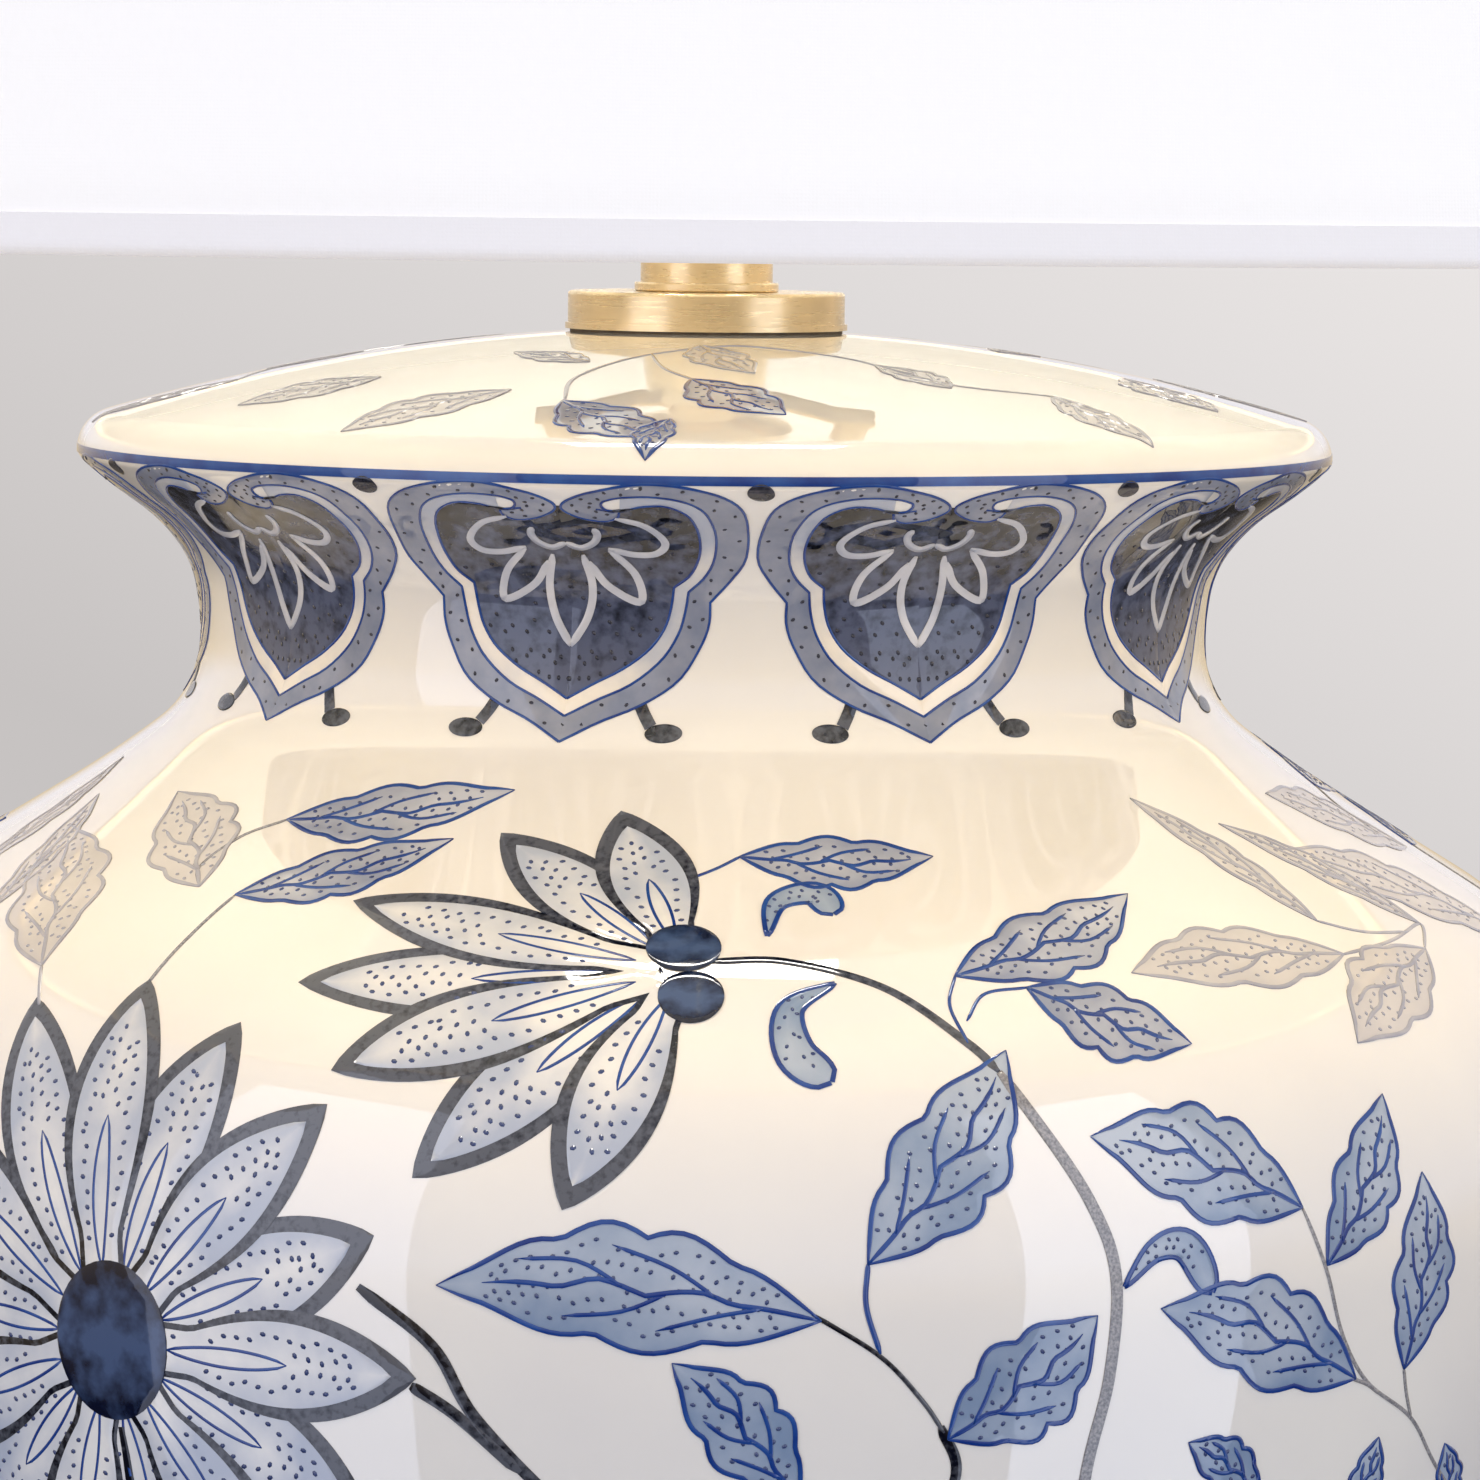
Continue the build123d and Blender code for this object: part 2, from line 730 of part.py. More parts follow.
def spider_arms(radius):
    """Straight wires from the centre washer out to the top ring."""
    ring_radius, ring_level = on_shade(shade_slant - ring_along, ring_out)
    inner_end = spider_washer_radius - arm_weld
    inner_level = spider_level + spider_washer_thickness / 2
    arms = []
    for index in range(arm_count):
        turn = 2 * pi * (index / arm_count + 1 / 12)
        start = (inner_end * cos(turn), inner_end * sin(turn), inner_level)
        finish = (ring_radius * cos(turn), ring_radius * sin(turn), ring_level)
        arms.append(bar(start, finish, radius))
    return arms


def shade_spider():
    """Top ring, arms and centre washer of the shade, welded in one."""
    spider = wire_ring(shade_slant - ring_along)
    for arm in spider_arms(arm_wire):
        spider += arm
    return spider + ring(spider_washer_radius, stud_radius + body_gap, spider_level,
                         spider_level + spider_washer_thickness)


def shade_top_hem():
    """Upper binding, notched for the spider's arms."""
    hem = shade_hem(shade_slant, -1)
    for arm in spider_arms(arm_wire + slip_gap):
        hem -= arm
    return hem


def finial_knob():
    """Turned base, neck and ball with a small tip, bored for its bush."""
    bore = finial_bush_radius + running_gap
    bore_top = finial_bush_top + slip_gap
    base_top = finial_bottom + finial_base_height
    neck = bore + finial_neck_wall
    ball = neck + finial_ball_swell
    join = bore_top - finial_ball_sink
    ball_centre = join + sqrt(ball ** 2 - neck ** 2)
    ball_top = ball_centre + sqrt(ball ** 2 - finial_tip_radius ** 2)
    tip_end = ball_top + finial_tip_height
    lower = [(bore, bore_top), (bore, finial_bottom), (stud_flange_radius, finial_bottom),
             (stud_flange_radius, base_top), (neck, base_top), (neck, join)]
    upper = [(finial_tip_radius, ball_top), (finial_tip_radius, tip_end), (0, tip_end), (0, bore_top),
             (bore, bore_top)]
    round_side = ThreePointArc((neck, 0, join), (ball, 0, ball_centre), (finial_tip_radius, 0, ball_top))
    return revolve(make_face(lines(lower) + [round_side] + lines(upper)), Axis.Z)


os.makedirs("parts", exist_ok=True)

save("felt_pad", ring(plinth_radius - felt_inset, 0, 0, felt_thickness))
save("base_plinth", base_plinth())
save("base_plate", ring(plate_seat - slip_gap, rod_fit, plinth_under, plinth_top))
save("cord_bushing", cord_bushing())
save("base_washer", ring(washer_radius, rod_fit, washer_bottom, plinth_under))
save("base_nut", base_nut())
save("lamp_rod", ring(rod_radius, rod_bore, nut_bottom - rod_tail, hub_top))
save("foot_gasket", ring(foot_radius - gasket_inset, foot_inner + gasket_inset, plinth_top, foot_level))
save("ceramic_body", ceramic_body())
save("cap_washer", cap_washer())
save("vase_cap", vase_cap())
save("neck_tube", neck_tube())
save("harp_saddle", harp_saddle())
save("harp", harp())
save("harp_stud", harp_stud())
save("harp_sleeve_left", harp_sleeve(-1))
save("harp_sleeve_right", harp_sleeve(1))
save("socket_cap", socket_cap())
save("socket_cap_screw", socket_cap_screw())
save("socket_shell", socket_shell())
save("socket_sleeve", socket_sleeve())
save("socket_body", socket_body())
save("socket_terminals", socket_terminals())
save("socket_screw_shell", socket_screw_shell())
save("socket_contact", socket_contact())
save("switch_spindle", switch_spindle())
save("switch_knob", switch_knob())
save("bulb_contact", bulb_contact())
save("bulb_insulator", bulb_insulator())
save("bulb_cap", ring(bulb_cap_radius, bulb_cap_inner, bulb_cap_bottom, bulb_cap_top))
save("bulb_housing", bulb_housing())
save("bulb_board", ring(bulb_radius - bulb_skin - body_gap, 0, housing_top, housing_top + bulb_board_thickness))
save("bulb_diffuser", bulb_diffuser())
save("shade_liner", shade_layer(liner_outer, liner_inner))
save("shade_fabric", shade_layer(0, -fabric_thickness))
save("shade_spider", shade_spider())
save("shade_bottom_ring", wire_ring(ring_along))
save("shade_top_hem", shade_top_hem())
save("shade_bottom_hem", shade_hem(0, 1))
save("finial_bush", ring(finial_bush_radius, stud_radius + running_gap, finial_bottom, finial_bush_top))
save("finial_knob", finial_knob())
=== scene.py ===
import bpy
import numpy as np
from math import asin, atan2, cos, degrees, hypot, pi, radians, sin, sqrt
from mathutils import Matrix, Vector


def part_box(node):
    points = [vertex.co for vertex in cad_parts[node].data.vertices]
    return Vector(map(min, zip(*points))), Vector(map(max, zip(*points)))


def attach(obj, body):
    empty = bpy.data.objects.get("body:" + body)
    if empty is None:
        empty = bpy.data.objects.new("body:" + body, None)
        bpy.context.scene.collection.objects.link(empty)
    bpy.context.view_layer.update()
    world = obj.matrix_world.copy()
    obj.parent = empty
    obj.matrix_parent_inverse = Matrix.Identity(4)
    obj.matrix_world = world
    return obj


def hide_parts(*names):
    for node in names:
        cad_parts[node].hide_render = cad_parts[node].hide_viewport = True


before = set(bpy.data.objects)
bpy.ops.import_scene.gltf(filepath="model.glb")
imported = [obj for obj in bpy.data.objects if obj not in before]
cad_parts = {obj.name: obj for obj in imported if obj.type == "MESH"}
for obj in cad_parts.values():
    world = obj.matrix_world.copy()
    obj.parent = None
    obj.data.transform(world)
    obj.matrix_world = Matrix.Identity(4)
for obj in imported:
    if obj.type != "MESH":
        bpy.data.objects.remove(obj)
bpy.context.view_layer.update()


# Felt pad: a disc of brown wool felt, die cut and glued under the base so that the metal can't
# scratch a table.
def paint(colour):
    """A colour written in 0 to 255, as the linear light that Blender mixes."""
    share = np.asarray(colour, float) / 255
    return np.where(share < 0.04045, share / 12.92, ((share + 0.055) / 1.055) ** 2.4)


def finish(name, colour, roughness, **values):
    """A material of one Principled surface, with its even values on the surface's own sockets."""
    material = bpy.data.materials.new(name)
    material.use_nodes = True
    sockets = material.node_tree.nodes["Principled BSDF"].inputs
    sockets["Base Color"].default_value = (*paint(colour), 1)
    sockets["Roughness"].default_value = roughness
    for socket, value in values.items():
        sockets[socket.replace("_", " ")].default_value = value
    return material


def node(material, kind, **inputs):
    """One shader node of a material. Sockets among its inputs are linked, other values are set."""
    made = material.node_tree.nodes.new("ShaderNode" + kind)
    for name, value in inputs.items():
        socket = made.inputs[name.replace("_", " ")]
        if isinstance(value, bpy.types.NodeSocket):
            material.node_tree.links.new(value, socket)
        else:
            socket.default_value = value
    return made


def reach(material, socket, value):
    """Link a value to a socket of the material's Principled surface."""
    surface = material.node_tree.nodes["Principled BSDF"]
    material.node_tree.links.new(value, surface.inputs[socket])


def noise(material, scale, stretch=(1, 1, 1), detail=3.0):
    """Factor of noise in Object coordinates, times stretch along each axis."""
    place = node(material, "TexCoord").outputs["Object"]
    drawn = node(material, "Mapping", Vector=place, Scale=stretch).outputs[0]
    return node(material, "TexNoise", Vector=drawn, Scale=scale, Detail=detail).outputs[0]


def ramp(material, factor, *stops):
    """Colour from a factor, through stops of (place, colour)."""
    made = node(material, "ValToRGB", Fac=factor)
    elements = made.color_ramp.elements
    elements.remove(elements[1])
    for index, (place, colour) in enumerate(stops):
        element = elements[0] if index == 0 else elements.new(place)
        element.position = place
        element.color = (*paint(colour), 1)
    return made.outputs[0]


def tint(material, factor, *stops):
    """Base colour of a material, from a factor through stops of (place, colour)."""
    reach(material, "Base Color", ramp(material, factor, *stops))


def relief(material, height, distance, strength=1.0):
    """Bump of a material, from a height of 0 to 1 times a distance in metres."""
    reach(material, "Normal", node(material, "Bump", Height=height, Distance=distance,
                                   Strength=strength).outputs[0])


def wear(material, factor, low, high):
    """Roughness of a material, from low to high as a factor goes from 0.3 to 0.7."""
    made = node(material, "MapRange", Value=factor, From_Min=0.3, From_Max=0.7, To_Min=low,
                To_Max=high)
    reach(material, "Roughness", made.outputs[0])


def dress(material, *names):
    """Give CAD nodes their finish."""
    for name in names:
        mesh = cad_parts[name].data
        mesh.materials.clear()
        mesh.materials.append(material)


wool_felt = finish("wool_felt", (74, 62, 52), 0.95, Sheen_Weight=0.4)
tint(wool_felt, noise(wool_felt, 420, detail=5), (0.3, (54, 45, 38)), (0.7, (92, 78, 66)))
relief(wool_felt, noise(wool_felt, 900, detail=4), 0.0008)
dress(wool_felt, "felt_pad")


# Plinth and plate: a turned ring of brass with a cove, and a round plate let into its top, both
# brushed in the lathe and lacquered, so that fine lines run round the axis.
def maths(material, operation, first, second=0.0):
    """The result of a sum on one or two values in a material."""
    made = node(material, "Math", Value=first)
    made.operation = operation
    if isinstance(second, bpy.types.NodeSocket):
        material.node_tree.links.new(second, made.inputs[1])
    else:
        made.inputs[1].default_value = second
    return made.outputs[0]


def lathe_lines(material, scale):
    """Factor of lines round the Z axis: noise by radius and height, drawn out along the turn."""
    turn_share = 0.0015
    place = node(material, "TexCoord").outputs["Object"]
    split = node(material, "SeparateXYZ", Vector=place)
    flat = node(material, "CombineXYZ", X=split.outputs["X"], Y=split.outputs["Y"])
    radius = node(material, "VectorMath", Vector=flat.outputs[0])
    radius.operation = "LENGTH"
    turn = maths(material, "ARCTAN2", split.outputs["Y"], split.outputs["X"])
    lines = node(material, "CombineXYZ", X=radius.outputs["Value"], Y=split.outputs["Z"],
                 Z=maths(material, "MULTIPLY", turn, turn_share))
    return node(material, "TexNoise", Vector=lines.outputs[0], Scale=scale, Detail=4.0).outputs[0]


def turned_brass(name, colour, roughness):
    """Lacquered brass with lathe lines in its gloss and relief, and faint toning."""
    brass = finish(name, colour, roughness, Metallic=1.0, Coat_Weight=0.8, Coat_Roughness=0.12)
    light = tuple(min(255, value * 1.06) for value in colour)
    deep = tuple(value * 0.9 for value in colour)
    tint(brass, noise(brass, 60, detail=4), (0.35, deep), (0.65, light))
    lines = lathe_lines(brass, 2600)
    wear(brass, lines, roughness - 0.07, roughness + 0.09)
    relief(brass, lines, 0.00002)
    return brass


base_brass = turned_brass("base_brass", (214, 180, 122), 0.34)
dress(base_brass, "base_plinth", "base_plate")

# Cord bushing: a flanged sleeve of moulded black plastic that lines the hole at the back of the base.
# It is pressed in, and the wires go through its bore.
bushing_plastic = finish("bushing_plastic", (26, 25, 25), 0.55)
tint(bushing_plastic, noise(bushing_plastic, 700), (0.3, (20, 19, 19)), (0.7, (34, 33, 32)))
relief(bushing_plastic, noise(bushing_plastic, 1800), 0.00005)
dress(bushing_plastic, "cord_bushing")

# Rod, nut, washer, screws and spindle: zinc plated steel, cut from bar and sheet. The rod and its nut
# clamp the jar between the base and the socket.
zinc_steel = finish("zinc_steel", (176, 178, 180), 0.38, Metallic=1.0)
tint(zinc_steel, noise(zinc_steel, 260, detail=5), (0.3, (150, 153, 158)), (0.7, (198, 199, 198)))
wear(zinc_steel, noise(zinc_steel, 900), 0.3, 0.48)
dress(zinc_steel, "base_washer", "base_nut", "lamp_rod", "socket_cap_screw", "socket_terminals",
      "switch_spindle")

# Gaskets: two rings of soft grey-brown rubber, cut from sheet. One lies under the jar's foot and one
# under the vase cap, so that metal never bears on the glaze.
soft_rubber = finish("soft_rubber", (104, 95, 86), 0.8)
tint(soft_rubber, noise(soft_rubber, 500), (0.3, (94, 86, 78)), (0.7, (116, 106, 97)))
relief(soft_rubber, noise(soft_rubber, 1500), 0.00004)
dress(soft_rubber, "foot_gasket", "cap_washer")

# Jar: one thrown and glazed white ceramic body with a closed dome, a sharp rim, a trumpet neck, a
# wide shoulder and a turned foot. Its outline is a chain of pairs of arcs between stations.
foot_level, foot_radius, foot_inner, foot_recess = 0.0275, 0.090, 0.080, 0.006
jar_height, rim_radius, lip_radius, dome_rise = 0.340, 0.105, 0.0065, 0.0207
rim_level = foot_level + jar_height
edge_radius, edge_turn = 0.002, radians(-137)
flare_spread, flare_drop, flare_heading = 0.0040, 0.0152, -127
waist_radius, waist_drop = 0.0844, 0.031
slope_radius, slope_drop, slope_heading = 0.1070, 0.0564, -31.5
shoulder_radius, shoulder_drop = 0.1297, 0.0702
belly_radius, belly_drop = 0.1555, 0.1186
taper_radius, taper_rise, taper_heading = 0.114, 0.078, -118
ankle_swell, ankle_rise, ankle_heading = 0.001, 0.014, -100
rod_hole, jar_wall, jar_floor = 0.00605, 0.006, 0.007
collar_radius, foot_chamfer, floor_fillet = 0.012, 0.001, 0.004
lip_run = rim_radius - lip_radius
dome_curve = (lip_run ** 2 + dome_rise ** 2 - lip_radius ** 2) / (2 * (dome_rise - lip_radius))
dome_centre = rim_level + dome_rise - dome_curve


def dome_station(radius):
    """(radius, height, heading) on the dome's arc."""
    height = dome_centre + sqrt(dome_curve ** 2 - radius ** 2)
    return (radius, height, -degrees(asin(radius / dome_curve)))


lip_reach = dome_curve * lip_run / hypot(lip_run, rim_level - dome_centre)
jar_stations = [
    dome_station(rod_hole), dome_station(lip_reach), (rim_radius, rim_level, -90),
    (rim_radius - edge_radius * (1 + sin(edge_turn)), rim_level + edge_radius * cos(edge_turn),
     degrees(edge_turn)),
    (waist_radius + flare_spread, rim_level - flare_drop, flare_heading),
    (waist_radius, rim_level - waist_drop, -90),
    (slope_radius, rim_level - slope_drop, slope_heading),
    (shoulder_radius, rim_level - shoulder_drop, slope_heading),
    (belly_radius, rim_level - belly_drop, -90),
    (taper_radius, foot_level + taper_rise, taper_heading),
    (foot_radius + ankle_swell, foot_level + ankle_rise, ankle_heading),
    (foot_radius, foot_level, -90)]


def arc(start, heading, finish_point, count):
    """Points on the circle that leaves start along a heading and ends at finish_point."""
    across = np.array([-heading[1], heading[0]])
    chord = finish_point - start
    side = chord @ across
    if abs(side) < 1e-9:
        return start + np.linspace(0, 1, count)[:, None] * chord
    angle = np.linspace(0, 2 * atan2(side, chord @ heading), count)[:, None]
    bend_radius = chord @ chord / (2 * side)
    return start + bend_radius * (np.sin(angle) * heading + (1 - np.cos(angle)) * across)


def biarc(first, second, count):
    """Two arcs that meet smoothly half way, from one station to the next."""
    start, end = np.array(first[:2]), np.array(second[:2])
    leave = np.array([cos(radians(first[2])), sin(radians(first[2]))])
    arrive = np.array([cos(radians(second[2])), sin(radians(second[2]))])
    chord = end - start
    both, bend = chord @ (leave + arrive), 2 * (1 - leave @ arrive)
    if bend < 1e-9:
        handle = chord @ chord / (4 * (chord @ leave))
    else:
        handle = (sqrt(both ** 2 + bend * (chord @ chord)) - both) / bend
    middle = (start + leave * handle + end - arrive * handle) / 2
    return np.vstack([arc(start, leave, middle, count)[:-1],
                      arc(end, -arrive, middle, count)[::-1][:-1]])


pieces_of_arc = [10, 9, 4, 9, 8, 9, 3, 13, 24, 12, 6]
jar_arcs = [biarc(*pair, count + 1) for count, *pair in zip(pieces_of_arc, jar_stations, jar_stations[1:])]
jar_outline = np.vstack([*jar_arcs, [(foot_radius, foot_level)]])
outline_run = np.concatenate([[0], np.cumsum(np.hypot(*np.diff(jar_outline, axis=0).T))])
outline_run -= outline_run[2 * (pieces_of_arc[0] + pieces_of_arc[1])]
outline_slope = np.gradient(jar_outline, outline_run, axis=0)
outline_slope /= np.hypot(*outline_slope.T)[:, None]


def mesh_piece(name, points, faces):
    """A smooth shaded mesh object from arrays of points and of faces with one count of corners."""
    mesh = bpy.data.meshes.new(name)
    mesh.vertices.add(len(points))
    mesh.vertices.foreach_set("co", np.ascontiguousarray(points, np.float32).ravel())
    mesh.loops.add(faces.size)
    mesh.loops.foreach_set("vertex_index", np.ascontiguousarray(faces, np.int32).ravel())
    mesh.polygons.add(len(faces))
    mesh.polygons.foreach_set("loop_start", np.arange(0, faces.size, faces.shape[1], dtype=np.int32))
    mesh.polygons.foreach_set("use_smooth", np.ones(len(faces), bool))
    mesh.update(calc_edges=True)
    mesh.validate()
    piece = bpy.data.objects.new(name, mesh)
    bpy.context.scene.collection.objects.link(piece)
    return piece


def grid_faces(rows, columns, around=False, along=False):
    """Corners of the faces of a grid of points, rows by columns. around joins the last column to the
    first, along the last row to the first."""
    index = np.arange(rows * columns).reshape(rows, columns)
    index = np.hstack([index, index[:, :1]]) if around else index
    index = np.vstack([index, index[:1]]) if along else index
    return np.stack([index[:-1, :-1], index[1:, :-1], index[1:, 1:], index[:-1, 1:]], -1).reshape(-1, 4)


def skin(name, grid):
    """A piece from a grid of points, closed both ways."""
    return mesh_piece(name, grid.reshape(-1, 3), grid_faces(*grid.shape[:2], around=True, along=True))


def spun(name, section, count):
    """A closed section of (radius, height) points, carried round the Z axis."""
    turn = np.arange(count) * 2 * pi / count
    radius, height = section[:, :1], section[:, 1:]
    grid = np.stack([radius * np.sin(turn), -radius * np.cos(turn), height + 0 * turn], -1)
    return skin(name, grid)


recess_level = foot_level + foot_recess
floor_top = recess_level + jar_floor
inner_face = jar_outline + jar_wall * np.stack([outline_slope[:, 1], -outline_slope[:, 0]], -1)
inner_face = inner_face[(inner_face[:, 1] > floor_top) & (inner_face[:, 0] > collar_radius)]
foot_corners = [(foot_radius - foot_chamfer, foot_level), (foot_inner, foot_level),
                (foot_inner, recess_level), (rod_hole, recess_level), (rod_hole, floor_top),
                (inner_face[-1, 0] - floor_fillet, floor_top)]
inner_top = [(collar_radius, inner_face[0, 1]), (rod_hole, inner_face[0, 1])]
jar = spun("glazed_jar", np.vstack([jar_outline, foot_corners, inner_face[::-4], inner_top]), 320)
white_glaze = finish("white_glaze", (233, 232, 233), 0.03, Specular_IOR_Level=0.5, Coat_Weight=1.0,
                     Coat_Roughness=0.02)
tint(white_glaze, noise(white_glaze, 22, detail=4), (0.3, (229, 228, 230)), (0.7, (237, 236, 235)))
relief(white_glaze, noise(white_glaze, 55, detail=2), 0.0001, 0.25)
jar.data.materials.append(white_glaze)
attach(jar, "lamp")
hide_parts("ceramic_body")

# Painted decoration: cobalt and charcoal brushed on the white body and sealed under the glaze. Each
# ink is a thin skin that follows the jar, laid out by the angle round it and the run below the rim.
laid = {}


def on_jar(spots, proud):
    """Points a little proud of the jar, from (angle in degrees, run in mm below the rim)."""
    turn, run = np.radians(spots[..., 0]), spots[..., 1] / 1000
    radius, height = (np.interp(run, outline_run, jar_outline[:, axis]) for axis in (0, 1))
    lean = [np.interp(run, outline_run, outline_slope[:, axis]) for axis in (0, 1)]
    radius, height = radius - proud * lean[1], height + proud * lean[0]
    return np.stack([radius * np.sin(turn), -radius * np.cos(turn), height], -1)


def beside(angle, run, shift):
    """(angle, run) of points that lie (right, down) of a place by a shift in mm along the glaze."""
    down = run + shift[..., 1]
    radius = np.interp(down / 1000, outline_run, jar_outline[:, 0]) * 1000
    return np.stack([angle + np.degrees(shift[..., 0] / radius), down], -1)


def lay(ink, proud, spots):
    """Add a grid of (angle, run) spots to an ink, its face turned outward, proud in mm. Each point
    keeps its shares along the stroke, 0 to 1, and across it, -1 to 1."""
    down, over = np.diff(spots, axis=0)[:, :-1], np.diff(spots, axis=1)[:-1]
    if (down[..., 0] * over[..., 1] - down[..., 1] * over[..., 0]).sum() > 0:
        spots = spots[:, ::-1]
    rows, columns = spots.shape[:2]
    shares = np.meshgrid(np.linspace(0, 1, rows), np.linspace(-1, 1, columns), [0], indexing="ij")
    laid.setdefault(ink, []).append((on_jar(spots, proud / 1000), np.stack(shares, -1)[:, :, 0]))


def between(first, second, count):
    """A grid of points from one edge to the other."""
    share = np.linspace(0, 1, count)[None, :, None]
    return first[:, None] * (1 - share) + second[:, None] * share


def curve(points, count):
    """A smooth curve through points, each span a cubic that leaves along its neighbours' chord."""
    knots = np.asarray(points, float)
    knots = np.vstack([2 * knots[0] - knots[1], knots, 2 * knots[-1] - knots[-2]])
    place = np.linspace(0, len(points) - 1, count)
    index = np.minimum(place.astype(int), len(points) - 2)
    share = (place - index)[:, None]
    a, b, c, d = (knots[index + step] for step in range(4))
    return b + share / 2 * (c - a + share * (2 * a - 5 * b + 4 * c - d + share * (3 * (b - c) + d - a)))


def brush(line, half, start=1.0, end=1.0):
    """The two edges of a brush line along a curve, half its width to each side, thinned at the ends to
    a share of it."""
    heading = np.gradient(line, axis=0)
    heading /= np.hypot(*heading.T)[:, None]
    along = np.linspace(0, 1, len(line))
    press = half * np.minimum(1, start + along * 8) * np.minimum(1, end + (1 - along) * 8)
    edge = press[:, None] * np.stack([-heading[:, 1], heading[:, 0]], -1)
    return np.stack([line - edge, line + edge], 1)


def turned(points, heading):
    """Points of (along, aside) turned to a heading, from right towards down, in degrees."""
    way = np.array([cos(radians(heading)), sin(radians(heading))])
    return points[..., :1] * way + points[..., 1:] * np.array([-way[1], way[0]])


def spread(count, first=0.5):
    """Even but unordered places in a unit square: steps of two irrational shares."""
    step = np.arange(count)
    return (first + step * 0.754878) % 1, (first + step * 0.569840) % 1


def specks(ink, proud, places, size, ways):
    """Brush specks at (angle, run) places: six-cornered marks of a size in mm, turned all ways."""
    corners = [[(-1.2, -0.5), (-1.2, 0.5)], [(0, -1), (0, 1)], [(1.2, -0.5), (1.2, 0.5)]]
    cell = size / 2 * np.array(corners)
    for place, way in zip(places, ways):
        lay(ink, proud, beside(place[0], place[1], turned(cell, way)))


def oval(half_width, half_height):
    """A filled oval, in strips from its upper to its lower edge."""
    turn = np.linspace(0.1, pi - 0.1, 21)
    share = np.linspace(-1, 1, 9)
    across = -half_width * np.cos(turn)[:, None]
    down = half_height * np.sin(turn)[:, None] * share
    return np.stack(np.broadcast_arrays(across, down), -1)


# Border: ten cloud-collar heads hang under a blue line on the rim, each a grey band round a dark field
# with a lotus drawn in white, on two small feet. Two more blue lines run round above the jar's foot.
band_out = [(9.3, 6.9), (8.9, 8.3), (6.9, 9.4), (3.6, 8.7), (1.0, 6.9), (0.5, 5.3), (2.0, 3.7), (5.2, 2.1),
            (10.4, 0.7), (15.4, 0.4), (21.3, 1.2), (25.8, 3.2), (28.2, 6.5), (28.4, 12), (27.4, 19),
            (24.9, 23.4), (21.5, 27.6), (21.3, 31.5), (19.9, 35.4), (17, 40.2), (11.7, 44), (5.5, 46.9),
            (0, 50.3)]
band_in = [(9.0, 6.6), (8.4, 6.7), (7.8, 6.6), (7.2, 6.2), (6.8, 5.6), (6.7, 5.1), (6.8, 4.6), (7.4, 4.0),
           (9.8, 3.2), (14.4, 2.9), (18.5, 3.7), (21.3, 5.3), (22.8, 8), (23.4, 13), (22.6, 19), (20.8, 23),
           (18.2, 25.8), (17.6, 29.5), (16.6, 33), (14.2, 37), (9.8, 40.8), (4.6, 43.4), (0, 46)]
field_edge = [(0, 5.5), (5, 6), (9.4, 6.6), (12.6, 5.4), (16.4, 5.2), (19.4, 7.2), (20.6, 10.5), (20.8, 15),
              (20.2, 19), (18.6, 22.6), (16, 25), (15.4, 29), (14.4, 32.2), (12.2, 35.4), (8.4, 38.4),
              (4, 40.8), (0, 43.2)]
field_axis = [5.5, 6.5, 7.5, 9, 11, 13, 15, 18, 20.5, 23, 25.5, 29, 32, 35.5, 38.8, 41.2, 43.2]
lotus_lines = [[(4.9, 11.5), (5.2, 13.5), (4.3, 15.6), (2.2, 16.8), (0, 15.6)],
               [(6.5, 16.9), (10.5, 18.2), (14, 17.8), (15.4, 15), (12.8, 10.5), (8.5, 8.5)],
               [(3.2, 20), (5.8, 24.8), (10.8, 27.6), (10.2, 22.5), (6.6, 17.3)],
               [(2.4, 18.5), (3.4, 25), (2.6, 30.2), (0, 35)]]
head_count, first_head = 10, 23


def with_cusp(points, cusp, count):
    """Two smooth curves that meet at a cusp, in proportion to their spans."""
    first = round(count * cusp / (len(points) - 1))
    return np.vstack([curve(points[:cusp + 1], first)[:-1], curve(points[cusp:], count - first + 1)])


def hung(head, points):
    """(angle, run) of a head's points (aside, below the rim), on its slightly leaning axis."""
    middle = first_head + 360 / head_count * head
    lean = sin(radians(middle - 5))
    angle = middle + lean * (-3.2 + 7.2 * points[..., 1] / 50)
    return beside(angle, 0, points)


